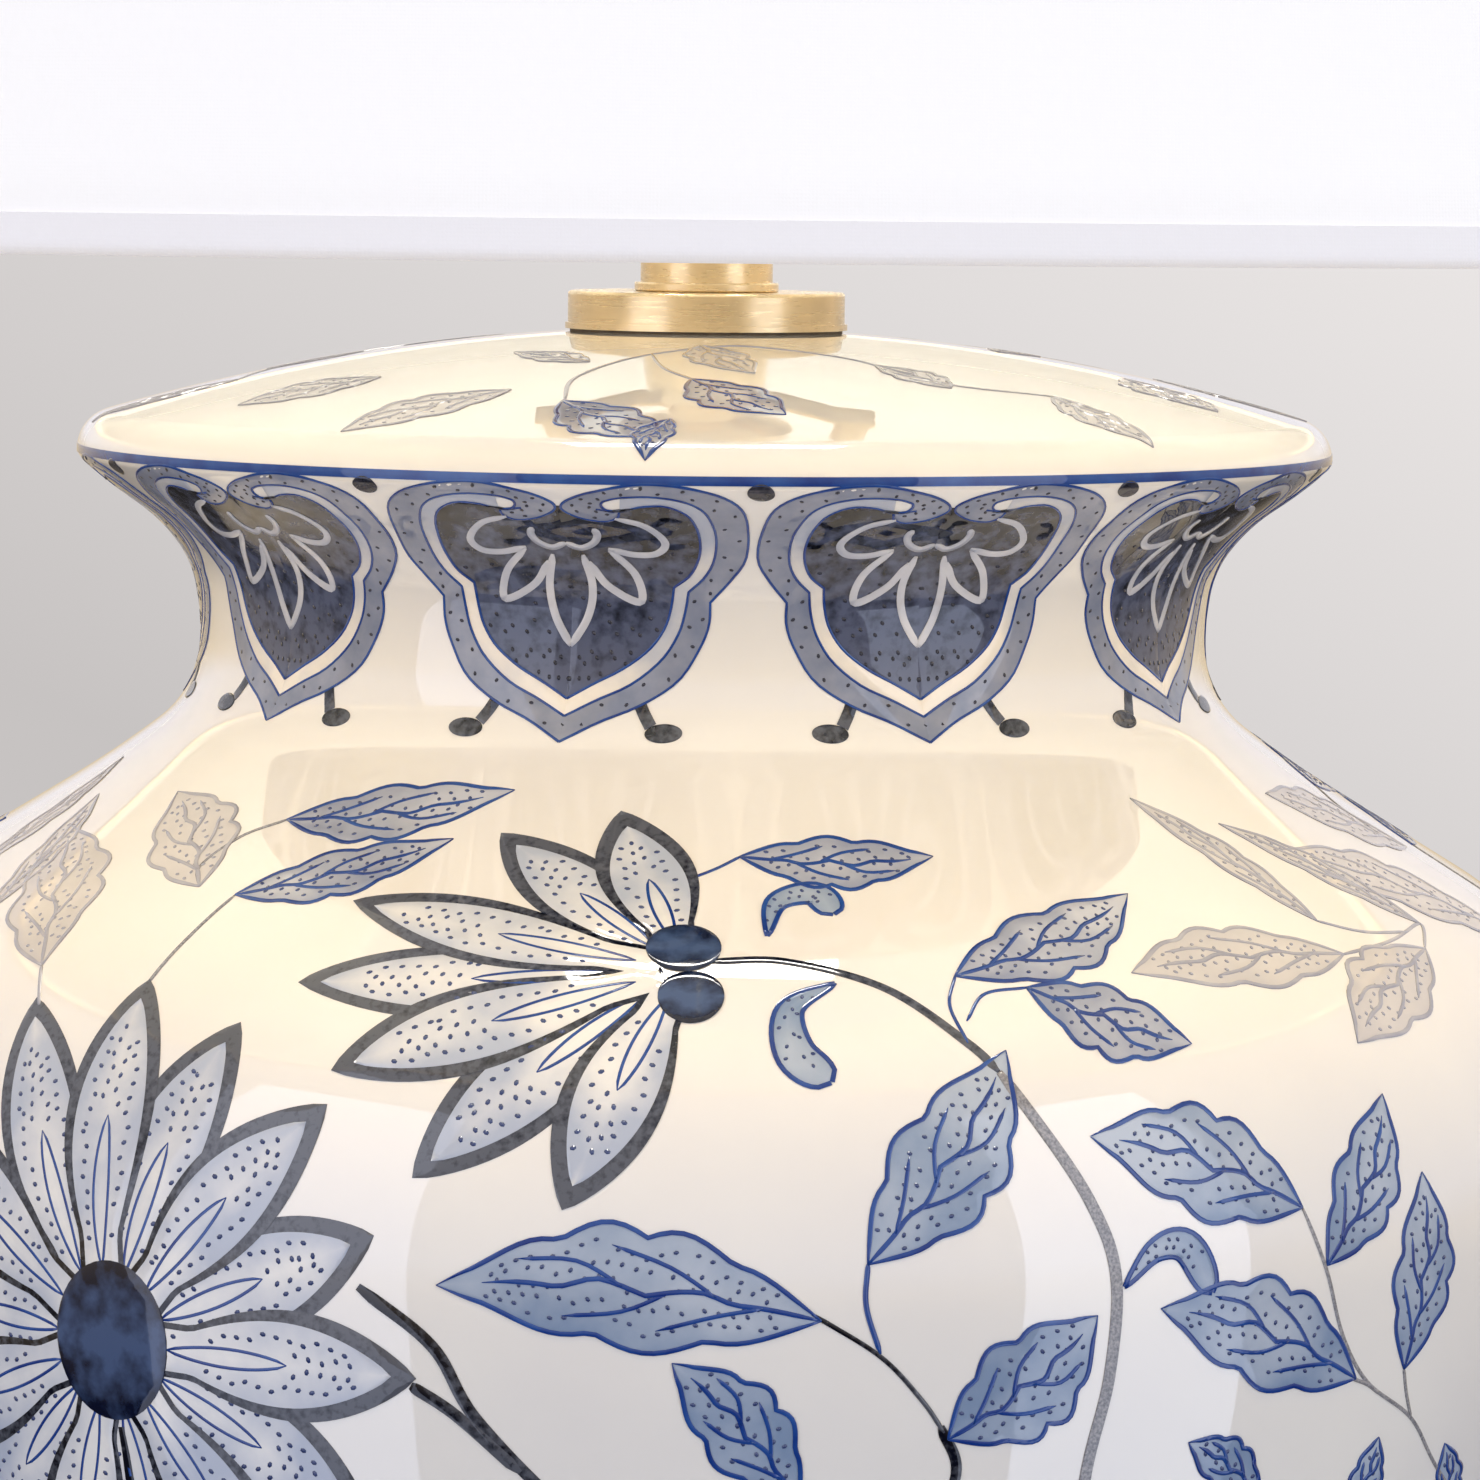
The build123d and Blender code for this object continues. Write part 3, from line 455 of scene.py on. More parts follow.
band_cusp, band_count, field_cusp, field_count = 16, 76, 10, 56
band_skip, field_skip = 8, 2
outer, inner = with_cusp(band_out, band_cusp, band_count), with_cusp(band_in, band_cusp, band_count)
pale_out = with_cusp(band_in[band_skip:], band_cusp - band_skip, field_count)
pale_in = with_cusp(field_edge[field_skip:], field_cusp - field_skip, field_count)
field_side = with_cusp(field_edge, field_cusp, field_count)
field_places = np.linspace(0, len(field_axis) - 1, field_count)
field_middle = np.interp(field_places, np.arange(len(field_axis)), field_axis)
field_middle = np.stack([np.zeros(field_count), field_middle], -1)
foot_stroke, foot_place = curve([(11.6, 43.8), (12.6, 45.6), (13.8, 47.4)], 8), (16, 48.5)
for head in range(head_count):
    for flip in (np.array([-1, 1]), np.array([1, 1])):
        lay("head_field", 0.08, hung(head, between(field_middle, field_side, 7) * flip))
        lay("head_band", 0.11, hung(head, between(inner, outer, 3) * flip))
        lay("band_white", 0.09, hung(head, between(pale_in, pale_out, 3) * flip))
        for line in (outer, inner, field_side[4:]):
            lay("blue_line", 0.16, hung(head, brush(line, 0.2) * flip))
        for line in lotus_lines:
            lay("rim_shaded_white_line", 0.2, hung(head, brush(curve(line, 6 * len(line)), 0.62, 0.4, 0.4) * flip))
        lay("charcoal", 0.14, hung(head, brush(foot_stroke, 0.95) * flip))
        lay("charcoal", 0.15, hung(head, (oval(2.9, 1.6) + foot_place) * flip))
        for place in (0.3, 0.72):
            marks = (inner * (1 - place) + outer * place)[6 + int(place * 5)::4] * flip
            specks("dark_speck", 0.15, hung(head, marks), 0.55, 57 * np.arange(len(marks)))
        row, aside = spread(34, 0.17)
        index = 26 + (row ** 0.7 * 25).astype(int)
        marks = (field_middle[index] + (field_side - field_middle)[index] * aside[:, None] * 0.93) * flip
        specks("dark_speck", 0.14, hung(head, marks), 0.6, 90 * row)
    lay("dark_speck", 0.15, hung(head, oval(2.1, 1.7) + (31.2, 1.9)))
ring_turn = np.linspace(0, 360, 241)
for ring_edges in ((-0.9, 0.5), (372.0, 374.2), (376.0, 376.8)):
    ring = [np.stack([ring_turn, 0 * ring_turn + run], -1) for run in ring_edges]
    lay("blue_line", 0.16, np.stack(ring, 1))


# Scroll: daisies with dark outlines on charcoal stems, and scalloped leaves in a blue or grey wash
# with drawn veins and brush specks. A third of the way round, it starts again.
def blade(length, width, fullest, taper=0.8, lobes=(0, 0), bow=0.0, foot=0.0, count=26):
    """Edges of a pointed blade along a bowed axis: half its width times a power of a sine over a power
    of the share of its length, at least a foot's share at its base, and bulged between its lobes."""
    along = np.linspace(0, 1, count)
    half = width / 2 * np.maximum(np.sin(pi * along ** fullest) ** taper, foot * (along < 0.4))
    edges = []
    for lobe in lobes:
        bulge = 0.24 * (np.abs(np.sin(pi * lobe * along)) - 0.6) * np.sin(pi * along) ** 0.6
        edges.append(half * (1 + bulge) if lobe else half)
    middle = bow * length * np.sin(pi * along * 0.9)
    return [np.stack([length * along, middle + side * edge], -1) for side, edge in zip((-1, 1), edges)]


def scatter(edges, count, first):
    """Places in loose, staggered rows over a blade, clear of its edges and ends."""
    length, width = np.ptp(edges[0][:, 0]), np.ptp(edges[1][:, 1] - edges[0][:, 1])
    columns = max(2, round(sqrt(count * width / length)))
    row, column = np.divmod(np.arange(count), columns)
    along, aside = (0.5 * (share - 0.5) for share in spread(count, first))
    along = (row + 0.5 + 0.5 * (column % 2) + along) / (count / columns + 0.5)
    aside = (column + 0.5 + aside) / columns
    place = (0.1 + 0.78 * along) * (len(edges[0]) - 1)
    rows = np.arange(len(edges[0]))
    sides = [np.stack([np.interp(place, rows, edge[:, axis]) for axis in (0, 1)], -1) for edge in edges]
    return sides[0] + (sides[1] - sides[0]) * (0.1 + 0.8 * aside[:, None]), 180 * aside


def leaf(angle, run, heading, length, width, wash, bow=0.06):
    """A scalloped leaf from its base: wash, outline, midrib, side veins and specks."""
    edges = blade(length, 0.95 * width, 0.95, 1.0, (3.4, 4.4), bow, count=34)
    middle = (edges[0] + edges[1]) / 2
    line, speck = ("faint_line", "faint_line") if wash == "faint_wash" else ("blue_line", "navy_speck")
    lay(wash, 0.08, beside(angle, run, turned(between(*edges, 7), heading)))
    veins = [*edges, middle[:-4]]
    for step, side in ((5, 0), (9, 1), (13, 0), (17, 1)):
        goal = middle[step + 9] + 0.62 * (edges[side][step + 9] - middle[step + 9])
        bend = middle[step + 4] + 0.42 * (edges[side][step + 4] - middle[step + 4])
        veins.append(curve([middle[step], bend, goal], 9))
    for index, vein in enumerate(veins):
        press = 0.36 if index < 3 else 0.3
        lay(line, 0.16, beside(angle, run, turned(brush(vein, press, 0.4, 0.15), heading)))
    marks, ways = scatter(edges, int(length * width / 11), 0.3)
    specks(speck, 0.15, beside(angle, run, turned(marks, heading)), 0.62, ways)


def petal(angle, run, heading, start, length, width, level):
    """A daisy's petal from its heart: broad dark outline, pale wash, a narrow blue loop and specks."""
    reach_out = turned(np.array([[[start, 0.0]]]), heading)
    edges = blade(length - start, width, 1.2, 0.8, foot=0.5, count=30)
    lay("charcoal", 0.06 + level, beside(angle, run, reach_out + turned(between(*edges, 5), heading)))
    edges = blade(length - start - 4.4, width - 3.8, 1.2, 0.8, foot=0.5, count=30)
    edges = [edge + (0.6, 0) for edge in edges]
    lay("petal_wash", 0.09 + level, beside(angle, run, reach_out + turned(between(*edges, 5), heading)))
    loop = [edge + (0.08 * length, 0) for edge in blade(0.4 * length, 0.17 * width, 1.1, 0.7, count=14)]
    for side in loop:
        drawn = turned(brush(side, 0.24, 0.5, 0.3), heading)
        lay("blue_line", 0.11 + level, beside(angle, run, reach_out + drawn))
    marks, ways = scatter(edges, int(length * width / 15), 0.1 + heading / 360)
    clear = np.abs(marks[:, 1]) > 0.13 * width * (marks[:, 0] < 0.5 * length)
    places = beside(angle, run, reach_out[0] + turned(marks[clear], heading))
    specks("navy_speck", 0.11 + level, places, 0.75, ways[clear])


def daisy(angle, run, petals, width, hearts):
    """A daisy: petals by (heading, length), each second one over its neighbours, and a heart of ovals,
    each of (half width, half height, right, down)."""
    for index, (heading, length) in enumerate(petals):
        petal(angle, run, heading, 0.6 * hearts[0][0], length, width, 0.0 if index % 2 else 0.07)
    for index, (half_width, half_height, right, down) in enumerate(hearts):
        heart = oval(half_width, half_height) + (right, down)
        lay("daisy_heart", 0.22 + 0.02 * index, beside(angle, run, heart))


def flattened(places, count):
    """A smooth curve through (angle, run) places, in mm on the jar unrolled at their mean radius."""
    places = np.array(places, float)
    radius = np.interp(places[:, 1] / 1000, outline_run, jar_outline[:, 0]).mean() * 1000
    return curve(places * (radians(1) * radius, 1), count), np.array([radians(1) * radius, 1])


def stem(ink, half, *places):
    """A brushed stem through (angle, run) places."""
    line, scale = flattened(places, 9 * len(places))
    lay(ink, 0.12, brush(line, half, 0.6, 0.4) / scale)


def bud(width, *places):
    """A curled bud through (angle, run) places: thin at its base, full and round at its end."""
    line, scale = flattened(places, 24)
    along = np.linspace(0, 1, 24)
    edges = brush(line, width / 2 * along ** 0.7 * np.sqrt(1.001 - along ** 6))
    lay("blue_wash", 0.08, between(edges[:, 0], edges[:, 1], 5) / scale)
    for side in (0, 1):
        lay("blue_line", 0.16, brush(edges[:, side], 0.36) / scale)
    marks, ways = scatter((edges[:, 0], edges[:, 1]), 14, 0.2)
    specks("navy_speck", 0.15, marks / scale, 0.55, ways)


full_ring = [(-98, 57), (-76, 52), (-50, 50), (-24, 48), (1, 51), (27, 48), (53, 50), (79, 47), (105, 49),
             (131, 47), (157, 51), (-177, 48), (-148, 56), (-120, 58)]
side_ring = [(-106, 39), (-133, 43), (-166, 54), (174, 60), (158, 57), (137, 54), (113, 44)]
small_ring = [(20 + 25.7 * step, 40 + 3 * sin(2.4 * step)) for step in range(14)]
for third in (0, 120, 240):
    for angle, run, heading, length, width, wash in (
            (-38, 71, -18, 36, 14, "grey_wash"), (-36, 90, -33, 33, 13, "grey_wash"),
            (-47, 111, -140, 46, 18, "faint_wash"), (-40, 89, -143, 34, 16, "faint_wash"),
            (7, 158, -177, 56, 18, "blue_wash"), (6, 185, -133, 28, 13, "blue_wash"),
            (3.5, 75, 0, 30, 12.5, "grey_wash"), (17, 104, -27, 39, 15, "grey_wash"),
            (21.5, 107, 26, 27, 13.5, "grey_wash"), (9.5, 150, -55, 39, 17, "blue_wash"),
            (14, 176, -38, 28.5, 16, "blue_wash"), (49.5, 98, -108, 35, 8, "faint_wash"),
            (61, 103, -121, 35, 8, "faint_wash"), (48.5, 106, 180, 44, 14, "faint_wash"),
            (58, 108, 157, 38, 14, "faint_wash"), (36, 146, -160, 37, 17, "blue_wash"),
            (37.5, 155, -55, 30, 13, "blue_wash"), (44, 173, -81, 30, 14, "blue_wash"),
            (40, 173, -160, 40, 16, "blue_wash"), (33.5, 189, -146, 17, 8, "blue_wash"),
            (40.5, 195, -69, 13, 7, "blue_wash"), (50, 200, -107, 14, 7, "blue_wash"),
            (54, 205, 20, 34, 14, "blue_wash"), (58, 222, 70, 36, 14, "blue_wash"),
            (6, 208, 150, 36, 14, "blue_wash"), (-14, 232, 100, 38, 15, "blue_wash"),
            (-10, 255, 35, 34, 14, "blue_wash"), (48, 300, 20, 38, 15, "blue_wash"),
            (45, 318, 75, 32, 13, "blue_wash"), (-2, 310, 160, 36, 15, "blue_wash"),
            (2, 330, 110, 28, 12, "blue_wash"), (-40, 300, -165, 34, 14, "blue_wash"),
            (-30, 322, 15, 34, 14, "blue_wash"), (-15.2, -27, 40, 27, 13, "grey_wash"),
            (-3, -18, 100, 15, 6, "grey_wash"), (-1.5, -42, 53, 26, 13, "grey_wash"),
            (-23, -33, 125, 31, 12, "faint_wash"), (-46, -38, 122, 24, 14, "faint_wash"),
            (44, -30, 94, 25, 9, "faint_wash"), (-1, -72, 69, 27, 10, "faint_wash"),
            (-19, -54, -160, 18, 8, "faint_wash"), (32, -36, -103, 17, 9, "faint_wash")):
        leaf(angle + third, run, heading, length, width, wash)
    daisy(-33.5 + third, 167, full_ring, 16.5, [(10.5, 12, 0, 0)])
    daisy(-0.5 + third, 102, side_ring, 15, [(5.6, 5.4, -0.5, -5), (4.9, 5.2, 0.8, 5.7)])
    daisy(26 + third, 262, small_ring, 14.5, [(9, 9, 0, 0)])
    for width, *places in ((7, (5, 94), (6, 86), (9, 84), (10, 89)),
                           (8, (9, 105), (6, 110), (6, 118), (8, 123)),
                           (6.5, (24, 155), (26, 150), (28, 150), (29.5, 157))):
        bud(width, *[(angle + third, run) for angle, run in places])
    for ink, half, *places in (
            ("charcoal", 0.7, (1, 100), (6, 100), (12, 106), (16.5, 117), (18, 122)),
            ("stem_grey", 0.9, (18, 122), (19.5, 129), (22.2, 142), (23.5, 153), (23.2, 168), (22, 184),
             (22, 205), (25, 232), (26, 255)),
            ("stem_grey", 0.3, (36, 146), (37.5, 156), (38.8, 166), (41, 174), (45, 181), (48, 190),
             (54, 205), (58, 222)),
            ("stem_grey", 0.3, (39.8, 173), (41, 174.3), (42, 176)),
            ("stem_grey", 0.3, (44, 173), (44.4, 177), (45, 181)),
            ("blue_line", 0.4, (9.5, 150), (9.4, 156), (10.2, 163)),
            ("charcoal", 0.35, (6.5, 157), (10.2, 163.4), (12.5, 170), (13.8, 175)),
            ("charcoal", 0.8, (13.6, 174), (14.5, 182), (12, 196), (6, 208)),
            ("blue_line", 0.25, (17, 104), (16, 110), (16.5, 117)),
            ("blue_line", 0.25, (21.5, 107), (18.5, 108), (16.8, 113)),
            ("blue_line", 0.25, (3.5, 75), (1.5, 78), (-1, 81)),
            ("stem_grey", 0.3, (-36.8, 112), (-36.6, 104), (-36.4, 96), (-36, 90)),
            ("stem_grey", 0.3, (-38, 71), (-41, 76), (-42, 84), (-40, 89)),
            ("faint_line", 0.3, (-44.6, 118), (-45.8, 114.5), (-47, 111)),
            ("charcoal", 0.9, (-18, 155), (-13.8, 163), (-11.2, 174), (-5, 190), (4, 206)),
            ("charcoal", 0.9, (-15, 169), (-12.5, 173), (-9, 181)),
            ("faint_line", 0.3, (48.5, 106), (55, 105), (61, 103), (58, 108)),
            ("faint_line", 0.3, (49.5, 98), (53, 102), (58, 104)),
            ("charcoal", 1.0, (26, 270), (30, 292), (44, 305), (52, 330)),
            ("charcoal", 0.8, (26, 270), (14, 296), (0, 308), (-10, 300)),
            ("charcoal", 0.8, (-33, 180), (-30, 222), (-14, 232), (-12, 262), (-24, 300), (-30, 322)),
            ("faint_line", 0.3, (-15, -27), (-17, -44), (-10, -62), (8, -72), (26, -60), (32, -40),
             (44, -30)),
            ("faint_line", 0.3, (-1.5, -42), (-6, -50), (-10, -62))):
        stem(ink, half, *[(angle + third, run) for angle, run in places])


# Inks: cobalt and charcoal pigments in water, clouded and grained as a brush leaves them, and glossy from
# the glaze. Each is given by its deep and light colour, its grain, and how much lighter it gets along a
# stroke and towards its edges.
inks = {"head_field": ((2, 5, 18), (84, 92, 120), 420, 0.5, 0.0),
        "head_band": ((118, 128, 154), (148, 154, 174), 160, 0.0, 0.0),
        # The strip between band and field is white glaze; it is inked grey-blue near the rim and lighter
        # lower down as painted shade from the rim.
        "band_white": ((174, 182, 202), (238, 232, 224), 60, 0.4, 0.0),
        "blue_line": ((8, 46, 126), (36, 78, 154), 160, 0.0, 0.0),
        # The lotus lines are white on the jar; their grey-blue here is painted shade from the rim above
        # them.
        "rim_shaded_white_line": ((176, 182, 200), (206, 208, 218), 160, 0.0, 0.0),
        "charcoal": ((2, 6, 24), (84, 88, 100), 900, 0.5, 0.08),
        "stem_grey": ((104, 106, 118), (160, 160, 166), 2200, 0.0, 0.0),
        "blue_wash": ((124, 145, 178), (174, 186, 206), 60, 0.14, -0.12),
        "grey_wash": ((138, 147, 172), (186, 191, 206), 60, 0.16, -0.12),
        "faint_wash": ((188, 186, 192), (206, 203, 205), 60, 0.0, -0.1),
        "faint_line": ((146, 149, 168), (172, 173, 186), 160, 0.0, 0.0),
        "petal_wash": ((174, 184, 206), (230, 231, 234), 60, -0.3, -0.16),
        "navy_speck": ((40, 56, 108), (70, 84, 130), 160, 0.0, 0.0),
        "dark_speck": ((24, 28, 44), (56, 58, 74), 900, 0.0, 0.0),
        "daisy_heart": ((0, 8, 38), (64, 84, 124), 260, 0.0, -0.4)}
for ink, (deep, light, grain, pale_along, pale_aside) in inks.items():
    points, strokes, faces, start = [], [], [], 0
    for grid, shares in laid[ink]:
        faces.append(grid_faces(*grid.shape[:2]) + start)
        points.append(grid.reshape(-1, 3))
        strokes.append(shares.reshape(-1, 3))
        start += len(points[-1])
    piece = mesh_piece("painted_" + ink, np.vstack(points), np.vstack(faces))
    stroke = piece.data.attributes.new("stroke", "FLOAT_VECTOR", "POINT")
    stroke.data.foreach_set("vector", np.vstack(strokes).astype(np.float32).ravel())
    body = piece.modifiers.new("ink_depth", "SOLIDIFY")
    body.thickness, body.offset = 0.0002, -1
    level = piece.modifiers.new("level_face", "WEIGHTED_NORMAL")
    broad = ink in ("head_field", "daisy_heart") or "wash" in ink
    level.mode, level.weight = "FACE_AREA", 60 if broad else 100
    cobalt = finish("ink_" + ink, deep, 0.04, Specular_IOR_Level=0.35, Coat_Weight=0.4,
                    Coat_Roughness=0.02)
    stroke_place = node(cobalt, "Attribute")
    stroke_place.attribute_name = "stroke"
    split = node(cobalt, "SeparateXYZ", Vector=stroke_place.outputs["Vector"])
    outward = maths(cobalt, "ABSOLUTE", split.outputs["Y"])
    load = noise(cobalt, grain, detail=6)
    for share, weight in ((split.outputs["X"], pale_along), (outward, pale_aside)):
        shift = node(cobalt, "MapRange", Value=share, To_Min=-weight / 2, To_Max=weight / 2)
        load = maths(cobalt, "ADD", load, shift.outputs[0])
    tint(cobalt, load, (0.32, deep), (0.68, light))
    piece.data.materials.append(cobalt)
    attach(piece, "lamp")

# Vase cap and neck: a spun brass disc over the rod's hole, and a turned brass tube over the rod,
# both brushed in the lathe to a pale satin.
satin_brass = turned_brass("satin_brass", (230, 205, 160), 0.3)
dress(satin_brass, "vase_cap", "neck_tube")

# Harp: a bent brass wire bow in a saddle under the socket, held by two sliding sleeves, with a
# turned stud at its top for the shade.
dress(turned_brass("harp_brass", (205, 170, 108), 0.3), "harp_saddle", "harp", "harp_stud",
      "harp_sleeve_left", "harp_sleeve_right")

# Socket: a drawn brass cap and shell with a card sleeve, round a moulded block that holds the
# threaded cup, the contact and the terminals.
dress(turned_brass("socket_brass", (208, 174, 114), 0.26), "socket_cap", "socket_shell")
black_moulding = finish("black_moulding", (24, 23, 23), 0.42)
tint(black_moulding, noise(black_moulding, 600), (0.3, (18, 18, 18)), (0.7, (32, 31, 30)))
dress(black_moulding, "socket_body", "switch_knob")
brown_card = finish("brown_card", (150, 122, 88), 0.85)
tint(brown_card, noise(brown_card, 400, (1, 1, 6)), (0.3, (138, 111, 78)), (0.7, (164, 136, 100)))
dress(brown_card, "socket_sleeve")
cup_alloy = finish("cup_alloy", (206, 207, 208), 0.3, Metallic=1.0)
wear(cup_alloy, noise(cup_alloy, 500), 0.24, 0.4)
dress(cup_alloy, "socket_screw_shell")
contact_metal = finish("contact_metal", (200, 166, 104), 0.34, Metallic=1.0)
wear(contact_metal, noise(contact_metal, 500), 0.26, 0.44)
dress(contact_metal, "socket_contact", "bulb_contact")


# Bulb: a white moulded housing in a rolled alloy cap with a screw thread, and a frosted round cover
# that glows warm.
def threaded_cap():
    """A tube whose outer radius dips by the thread's depth as a cosine of the height over the pitch
    less the turn, fading out towards both ends."""
    radius, inner_radius, depth, pitch = 0.0131, 0.0125, 0.0005, 0.003629
    low_fade, high_fade, columns, rows = 0.0015, 0.003, 96, 109
    low, high = (corner[2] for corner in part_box("bulb_cap"))
    turn, level = np.arange(columns) * 2 * pi / columns, np.linspace(low, high, rows)[:, None]
    fade = np.clip((level - low) / low_fade, 0, 1) * np.clip((high - level) / high_fade, 0, 1)
    thread = radius - depth * fade * (0.5 - 0.5 * np.cos(2 * pi * level / pitch - turn))
    wall = np.concatenate([thread, np.full((2, columns), inner_radius)])
    level = np.concatenate([level, [[high], [low]]]) + 0 * turn
    return skin("bulb_threaded_cap", np.stack([wall * np.sin(turn), -wall * np.cos(turn), level], -1))


cap_shell = threaded_cap()
cap_shell.data.materials.append(cup_alloy)
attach(cap_shell, "bulb")
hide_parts("bulb_cap")
black_glass = finish("black_glass", (18, 18, 20), 0.12)
wear(black_glass, noise(black_glass, 700), 0.08, 0.2)
dress(black_glass, "bulb_insulator")
white_moulding = finish("white_moulding", (236, 235, 231), 0.45)
tint(white_moulding, noise(white_moulding, 300), (0.3, (231, 230, 226)), (0.7, (240, 239, 236)))
dress(white_moulding, "bulb_housing", "bulb_board")
frosted_cover = finish("frosted_cover", (246, 240, 228), 0.5, Emission_Strength=3.0)
reach(frosted_cover, "Emission Color", ramp(frosted_cover, noise(frosted_cover, 40),
                                            (0.3, (255, 222, 178)), (0.7, (255, 230, 190))))
dress(frosted_cover, "bulb_diffuser")
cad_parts["bulb_diffuser"].visible_shadow = False

# Shade: a stiff white sheet, rolled to a cone and covered with fine white cloth, on a welded wire
# spider and a wire ring. Folded bindings of the same cloth close both edges.
shade_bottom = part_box("shade_fabric")[0][2]
shade_height, bottom_radius, top_radius = 0.284, 0.2285, 0.203
shade_slant = hypot(shade_height, bottom_radius - top_radius)
shade_lean = asin((bottom_radius - top_radius) / shade_slant)
cloth_thickness, hem_thickness, hem_height = 0.0005, 0.0006, 0.0046
seam_lap = 0.012
white_sheet = finish("white_sheet", (240, 239, 235), 0.5)
tint(white_sheet, noise(white_sheet, 120), (0.3, (236, 235, 231)), (0.7, (243, 242, 239)))
dress(white_sheet, "shade_liner")
white_wire = finish("white_wire", (226, 225, 222), 0.4)
tint(white_wire, noise(white_wire, 260), (0.3, (219, 218, 215)), (0.7, (232, 231, 228)))
dress(white_wire, "shade_spider", "shade_bottom_ring")


def on_shade(along, out):
    """(radius, height) at a distance up the slant of the shade and out from its outer face."""
    return np.stack([bottom_radius - along * sin(shade_lean) + out * cos(shade_lean),
                     shade_bottom + along * cos(shade_lean) + out * sin(shade_lean)], -1)


def cloth_threads(piece, rows, columns, width, length):
    """A UV map in metres along and across the cloth, for its threads. Where a face closes the ring,
    its corners in column 0 count as one column past the last."""
    layer = piece.data.uv_layers.new(name="threads")
    loops = np.empty(len(piece.data.loops), np.int32)
    piece.data.loops.foreach_get("vertex_index", loops)
    column, row = loops % columns, loops // columns
    last = np.repeat(column.reshape(-1, 4).max(1), 4)
    column = np.where((column == 0) & (last == columns - 1), columns, column)
    layer.data.foreach_set("uv", np.stack([column / columns * length, row / rows * width], -1).ravel())


def cloth(name, colour, glow):
    """Plain woven cloth: two crossed sets of slightly wavy threads, in relief and tone, and a painted glow.
    """
    made = finish(name, colour, 0.85, Sheen_Weight=0.15, Emission_Strength=glow)
    place = node(made, "UVMap")
    place.uv_map = "threads"
    tones = []
    for axis in ("X", "Y"):
        wave = node(made, "TexWave", Vector=place.outputs[0], Scale=640, Distortion=1.2, Detail=2.0,
                    Detail_Scale=0.6)
        wave.bands_direction = axis
        tones.append(wave.outputs[1])
    weave = maths(made, "MULTIPLY", *tones)
    light = tuple(min(255, value + 2) for value in colour)
    deep = tuple(value - 4 for value in colour)
    tint(made, weave, (0.1, deep), (0.8, light))
    relief(made, weave, 0.00005, 0.5)
    return made


# The cover's glow is painted light: even emission that stands in for the lit bulb shining through the
# cloth.
shade_cloth = cloth("shade_cloth", (241, 239, 240), 0.32)
cover_columns, cover_rows = 720, 24
turns = np.arange(cover_columns) * 2 * pi / cover_columns
seam = np.exp(-((turns - pi) * bottom_radius / (seam_lap / 2)) ** 8)
climb = np.linspace(0, shade_slant, cover_rows)
face = on_shade(climb[:, None], cloth_thickness * seam[None, :])
back = on_shade(climb[::-1, None], -cloth_thickness + 0 * seam[None, :])
walls = np.concatenate([face, back])
across, ahead = walls[..., 0] * np.sin(turns), -walls[..., 0] * np.cos(turns)
cover = skin("shade_cover", np.stack([across, ahead, walls[..., 1]], -1))
cloth_threads(cover, cover_rows, cover_columns, shade_slant, 2 * pi * bottom_radius)
cover.data.materials.append(shade_cloth)
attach(cover, "shade")
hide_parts("shade_fabric")

# The bindings' weaker glow is painted light: less of the bulb's light comes through the fold's double
# layer.
hem_cloth = cloth("hem_cloth", (238, 235, 239), 0.21)
wire_radius, slip, glue_gap, liner_thickness = 0.0018, 0.0001, 0.0001, 0.0005
wire_out = -cloth_thickness - glue_gap - liner_thickness - slip - wire_radius
hem_lap, hem_columns, hem_width = 0.0065, 300, 0.026


def hem_section(edge, inward):
    """The binding's folded section at one edge: out, round the edge and in over the wire ring, with its
    corners rounded by cutting them twice."""
    fold, inner_face, lap = slip + hem_thickness, wire_out - wire_radius - slip, 2 * wire_radius + hem_lap
    back_face = -cloth_thickness - glue_gap - liner_thickness
    corners = np.array([
        (hem_height, slip), (hem_height, fold), (hem_height * 0.5, fold), (-fold, fold),
        (-fold, inner_face - hem_thickness), (2 * wire_radius, inner_face - hem_thickness),
        (lap, back_face - fold), (lap, back_face - slip), (2 * wire_radius, inner_face),
        (-slip, inner_face), (-slip, slip)])
    for _ in range(2):
        after = np.roll(corners, -1, axis=0)
        corners = np.stack([0.75 * corners + 0.25 * after, 0.25 * corners + 0.75 * after], 1)
        corners = corners.reshape(-1, 2)
    section = on_shade(edge + inward * corners[:, 0], corners[:, 1])
    return section if inward < 0 else section[::-1]


for end, up_slant, inward in (("bottom", 0.0, 1), ("top", shade_slant, -1)):
    section = hem_section(up_slant, inward)
    hem = spun(end + "_binding", section, hem_columns)
    cloth_threads(hem, len(section), hem_columns, hem_width, 2 * pi * bottom_radius)
    hem.data.materials.append(hem_cloth)
    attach(hem, "shade")
    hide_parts("shade_%s_hem" % end)

# Finial: a turned and lacquered brass knob with a threaded bush set in it. It screws on the harp's
# stud and holds the shade down on its seat.
dress(turned_brass("finial_brass", (218, 186, 130), 0.26), "finial_knob", "finial_bush")

# Studio: a pale round floor in a grey room. The room has its own brightness for what the camera sees,
# for what gloss mirrors and for the light that it gives.
floor_radius, floor_level, floor_corners = 1.1, -0.0002, 96
floor_turn = np.linspace(0, 2 * pi, floor_corners, endpoint=False)
floor_edge = np.stack([floor_radius * np.cos(floor_turn), floor_radius * np.sin(floor_turn),
                       np.full(floor_corners, floor_level)], -1)
floor = mesh_piece("floor", floor_edge, np.arange(floor_corners)[None])
floor_paint = finish("floor_paint", (232, 230, 227), 0.7)
tint(floor_paint, noise(floor_paint, 12), (0.3, (229, 227, 224)), (0.7, (235, 233, 230)))
floor.data.materials.append(floor_paint)
floor.visible_glossy = False

world = bpy.data.worlds.new("grey_room")
bpy.context.scene.world = world
world.use_nodes = True
room = world.node_tree.nodes["Background"]
room.inputs["Strength"].default_value = 1.0
toward = node(world, "TexCoord").outputs["Generated"]


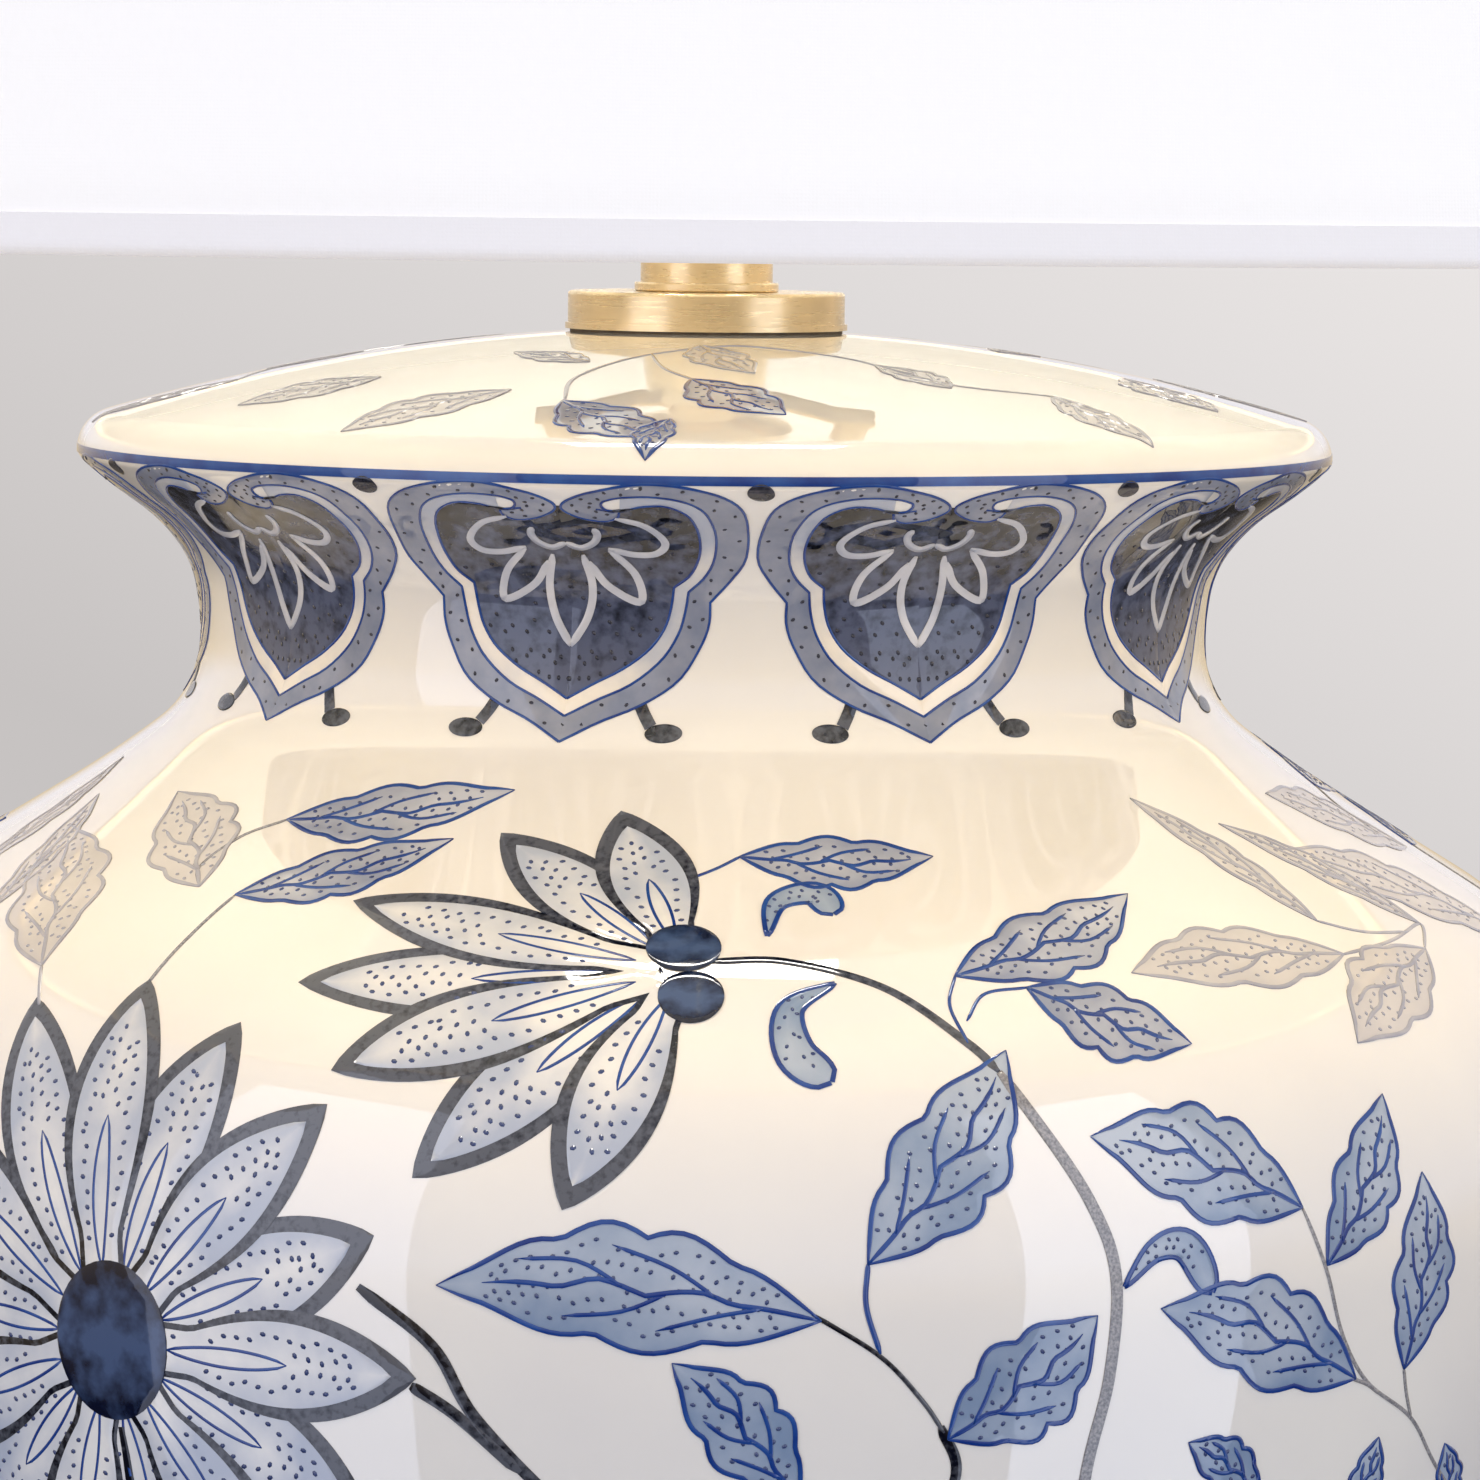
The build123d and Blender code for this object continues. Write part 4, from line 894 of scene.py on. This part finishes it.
def facing(way, low, high):
    """Share of 0 to 1, as the dot product of a ray's direction and a way goes from low to high."""
    product = node(world, "VectorMath")
    product.operation = "DOT_PRODUCT"
    world.node_tree.links.new(toward, product.inputs[0])
    product.inputs[1].default_value = way
    return node(world, "MapRange", Value=product.outputs["Value"], From_Min=low, From_Max=high).outputs[0]


upward, rightward = facing((0, 0, 1), -0.35, 0.65), facing((1, 0, 2), -0.3, 0.1)
seen = ramp(world, rightward, (0, (199, 195, 194)), (1, (233, 229, 228)))
mirrored = ramp(world, upward, (0, (70, 66, 62)), (0.3, (222, 202, 170)), (0.42, (238, 236, 244)))
shown = ramp(world, upward, (0.3, (150, 146, 139)), (0.45, (234, 228, 218)), (0.85, (180, 176, 169)))
ray_kind = node(world, "LightPath")
for ray, colour in (("Is Glossy Ray", mirrored), ("Is Camera Ray", seen)):
    pick = node(world, "Mix")
    pick.data_type = "RGBA"
    for socket, value in ((0, ray_kind.outputs[ray]), (6, shown), (7, colour)):
        world.node_tree.links.new(value, pick.inputs[socket])
    shown = pick.outputs[2]
world.node_tree.links.new(shown, room.inputs["Color"])


# Lights: two tall soft windows at the left and right, a ring of small warm lights for what the shade
# sends down from its lower edge, and the bulb's own glint and glow.
def window(name, place, target, width, height, power, colour):
    """A rectangular soft light at a place, turned to a target."""
    lamp = bpy.data.lights.new(name, "AREA")
    lamp.shape, lamp.size, lamp.size_y = "RECTANGLE", width, height
    lamp.energy, lamp.color = power, colour
    made = bpy.data.objects.new(name, lamp)
    aim = (Vector(target) - Vector(place)).to_track_quat("-Z", "Y")
    made.matrix_world = Matrix.Translation(place) @ aim.to_matrix().to_4x4()
    bpy.context.scene.collection.objects.link(made)
    return made


panel_level, panel_height = 0.47, 2.54
window("left_panel", (-1.196, -1.062, panel_level), (0, 0, panel_level), 0.95, panel_height, 12.0,
       (0.72, 0.78, 1.0))
window("right_panel", (1.249, -1.0, panel_level), (0, 0, panel_level), 0.81, panel_height, 12.5,
       (0.72, 0.8, 1.0))
light_count, light_radius, light_level = 10, 0.196, 0.412
goal_radius, goal_level = 0.1961, 0.25
for step in range(light_count):
    light_turn = 2 * pi * (step + 0.5) / light_count
    right, behind = sin(light_turn), cos(light_turn)
    light_place = (light_radius * right, light_radius * behind, light_level)
    light_goal = (goal_radius * right, goal_radius * behind, goal_level)
    shade_light = window("shade_light_%d" % step, light_place, light_goal, 0.1, 0.02, 0.056,
                         (1.0, 0.64, 0.13))
    shade_light.visible_glossy = shade_light.visible_camera = False
glint = window("bulb_glint", (0, 0, 0.66), (0, 0, 0.3), 0.14, 0.07, 1.2, (1.0, 0.96, 0.88))
glint.visible_diffuse = glint.visible_camera = False
glow = bpy.data.lights.new("bulb_glow", "POINT")
glow.energy, glow.color, glow.shadow_soft_size = 1.0, (1.0, 0.96, 0.82), 0.026
glow_place = bpy.data.objects.new("bulb_glow", glow)
glow_place.location = (0, 0, 0.545)
bpy.context.scene.collection.objects.link(glow_place)

# Camera: in front of the lamp, a little above the rim, looking down by its tilt and rolled slightly.
# Its long lens takes in the upper jar and the shade's lower edge.
camera_place, camera_tilt, camera_roll = (0.0064, -0.965, 0.412), 5.53, 0.6
camera_data = bpy.data.cameras.new("camera")
camera_data.lens, camera_data.sensor_width = 139.4, 36
camera = bpy.data.objects.new("camera", camera_data)
camera.matrix_world = (Matrix.Translation(camera_place) @ Matrix.Rotation(radians(90 - camera_tilt), 4, "X")
                       @ Matrix.Rotation(radians(camera_roll), 4, "Z"))
bpy.context.scene.collection.objects.link(camera)
bpy.context.scene.camera = camera
bpy.context.scene.view_settings.view_transform = "Standard"
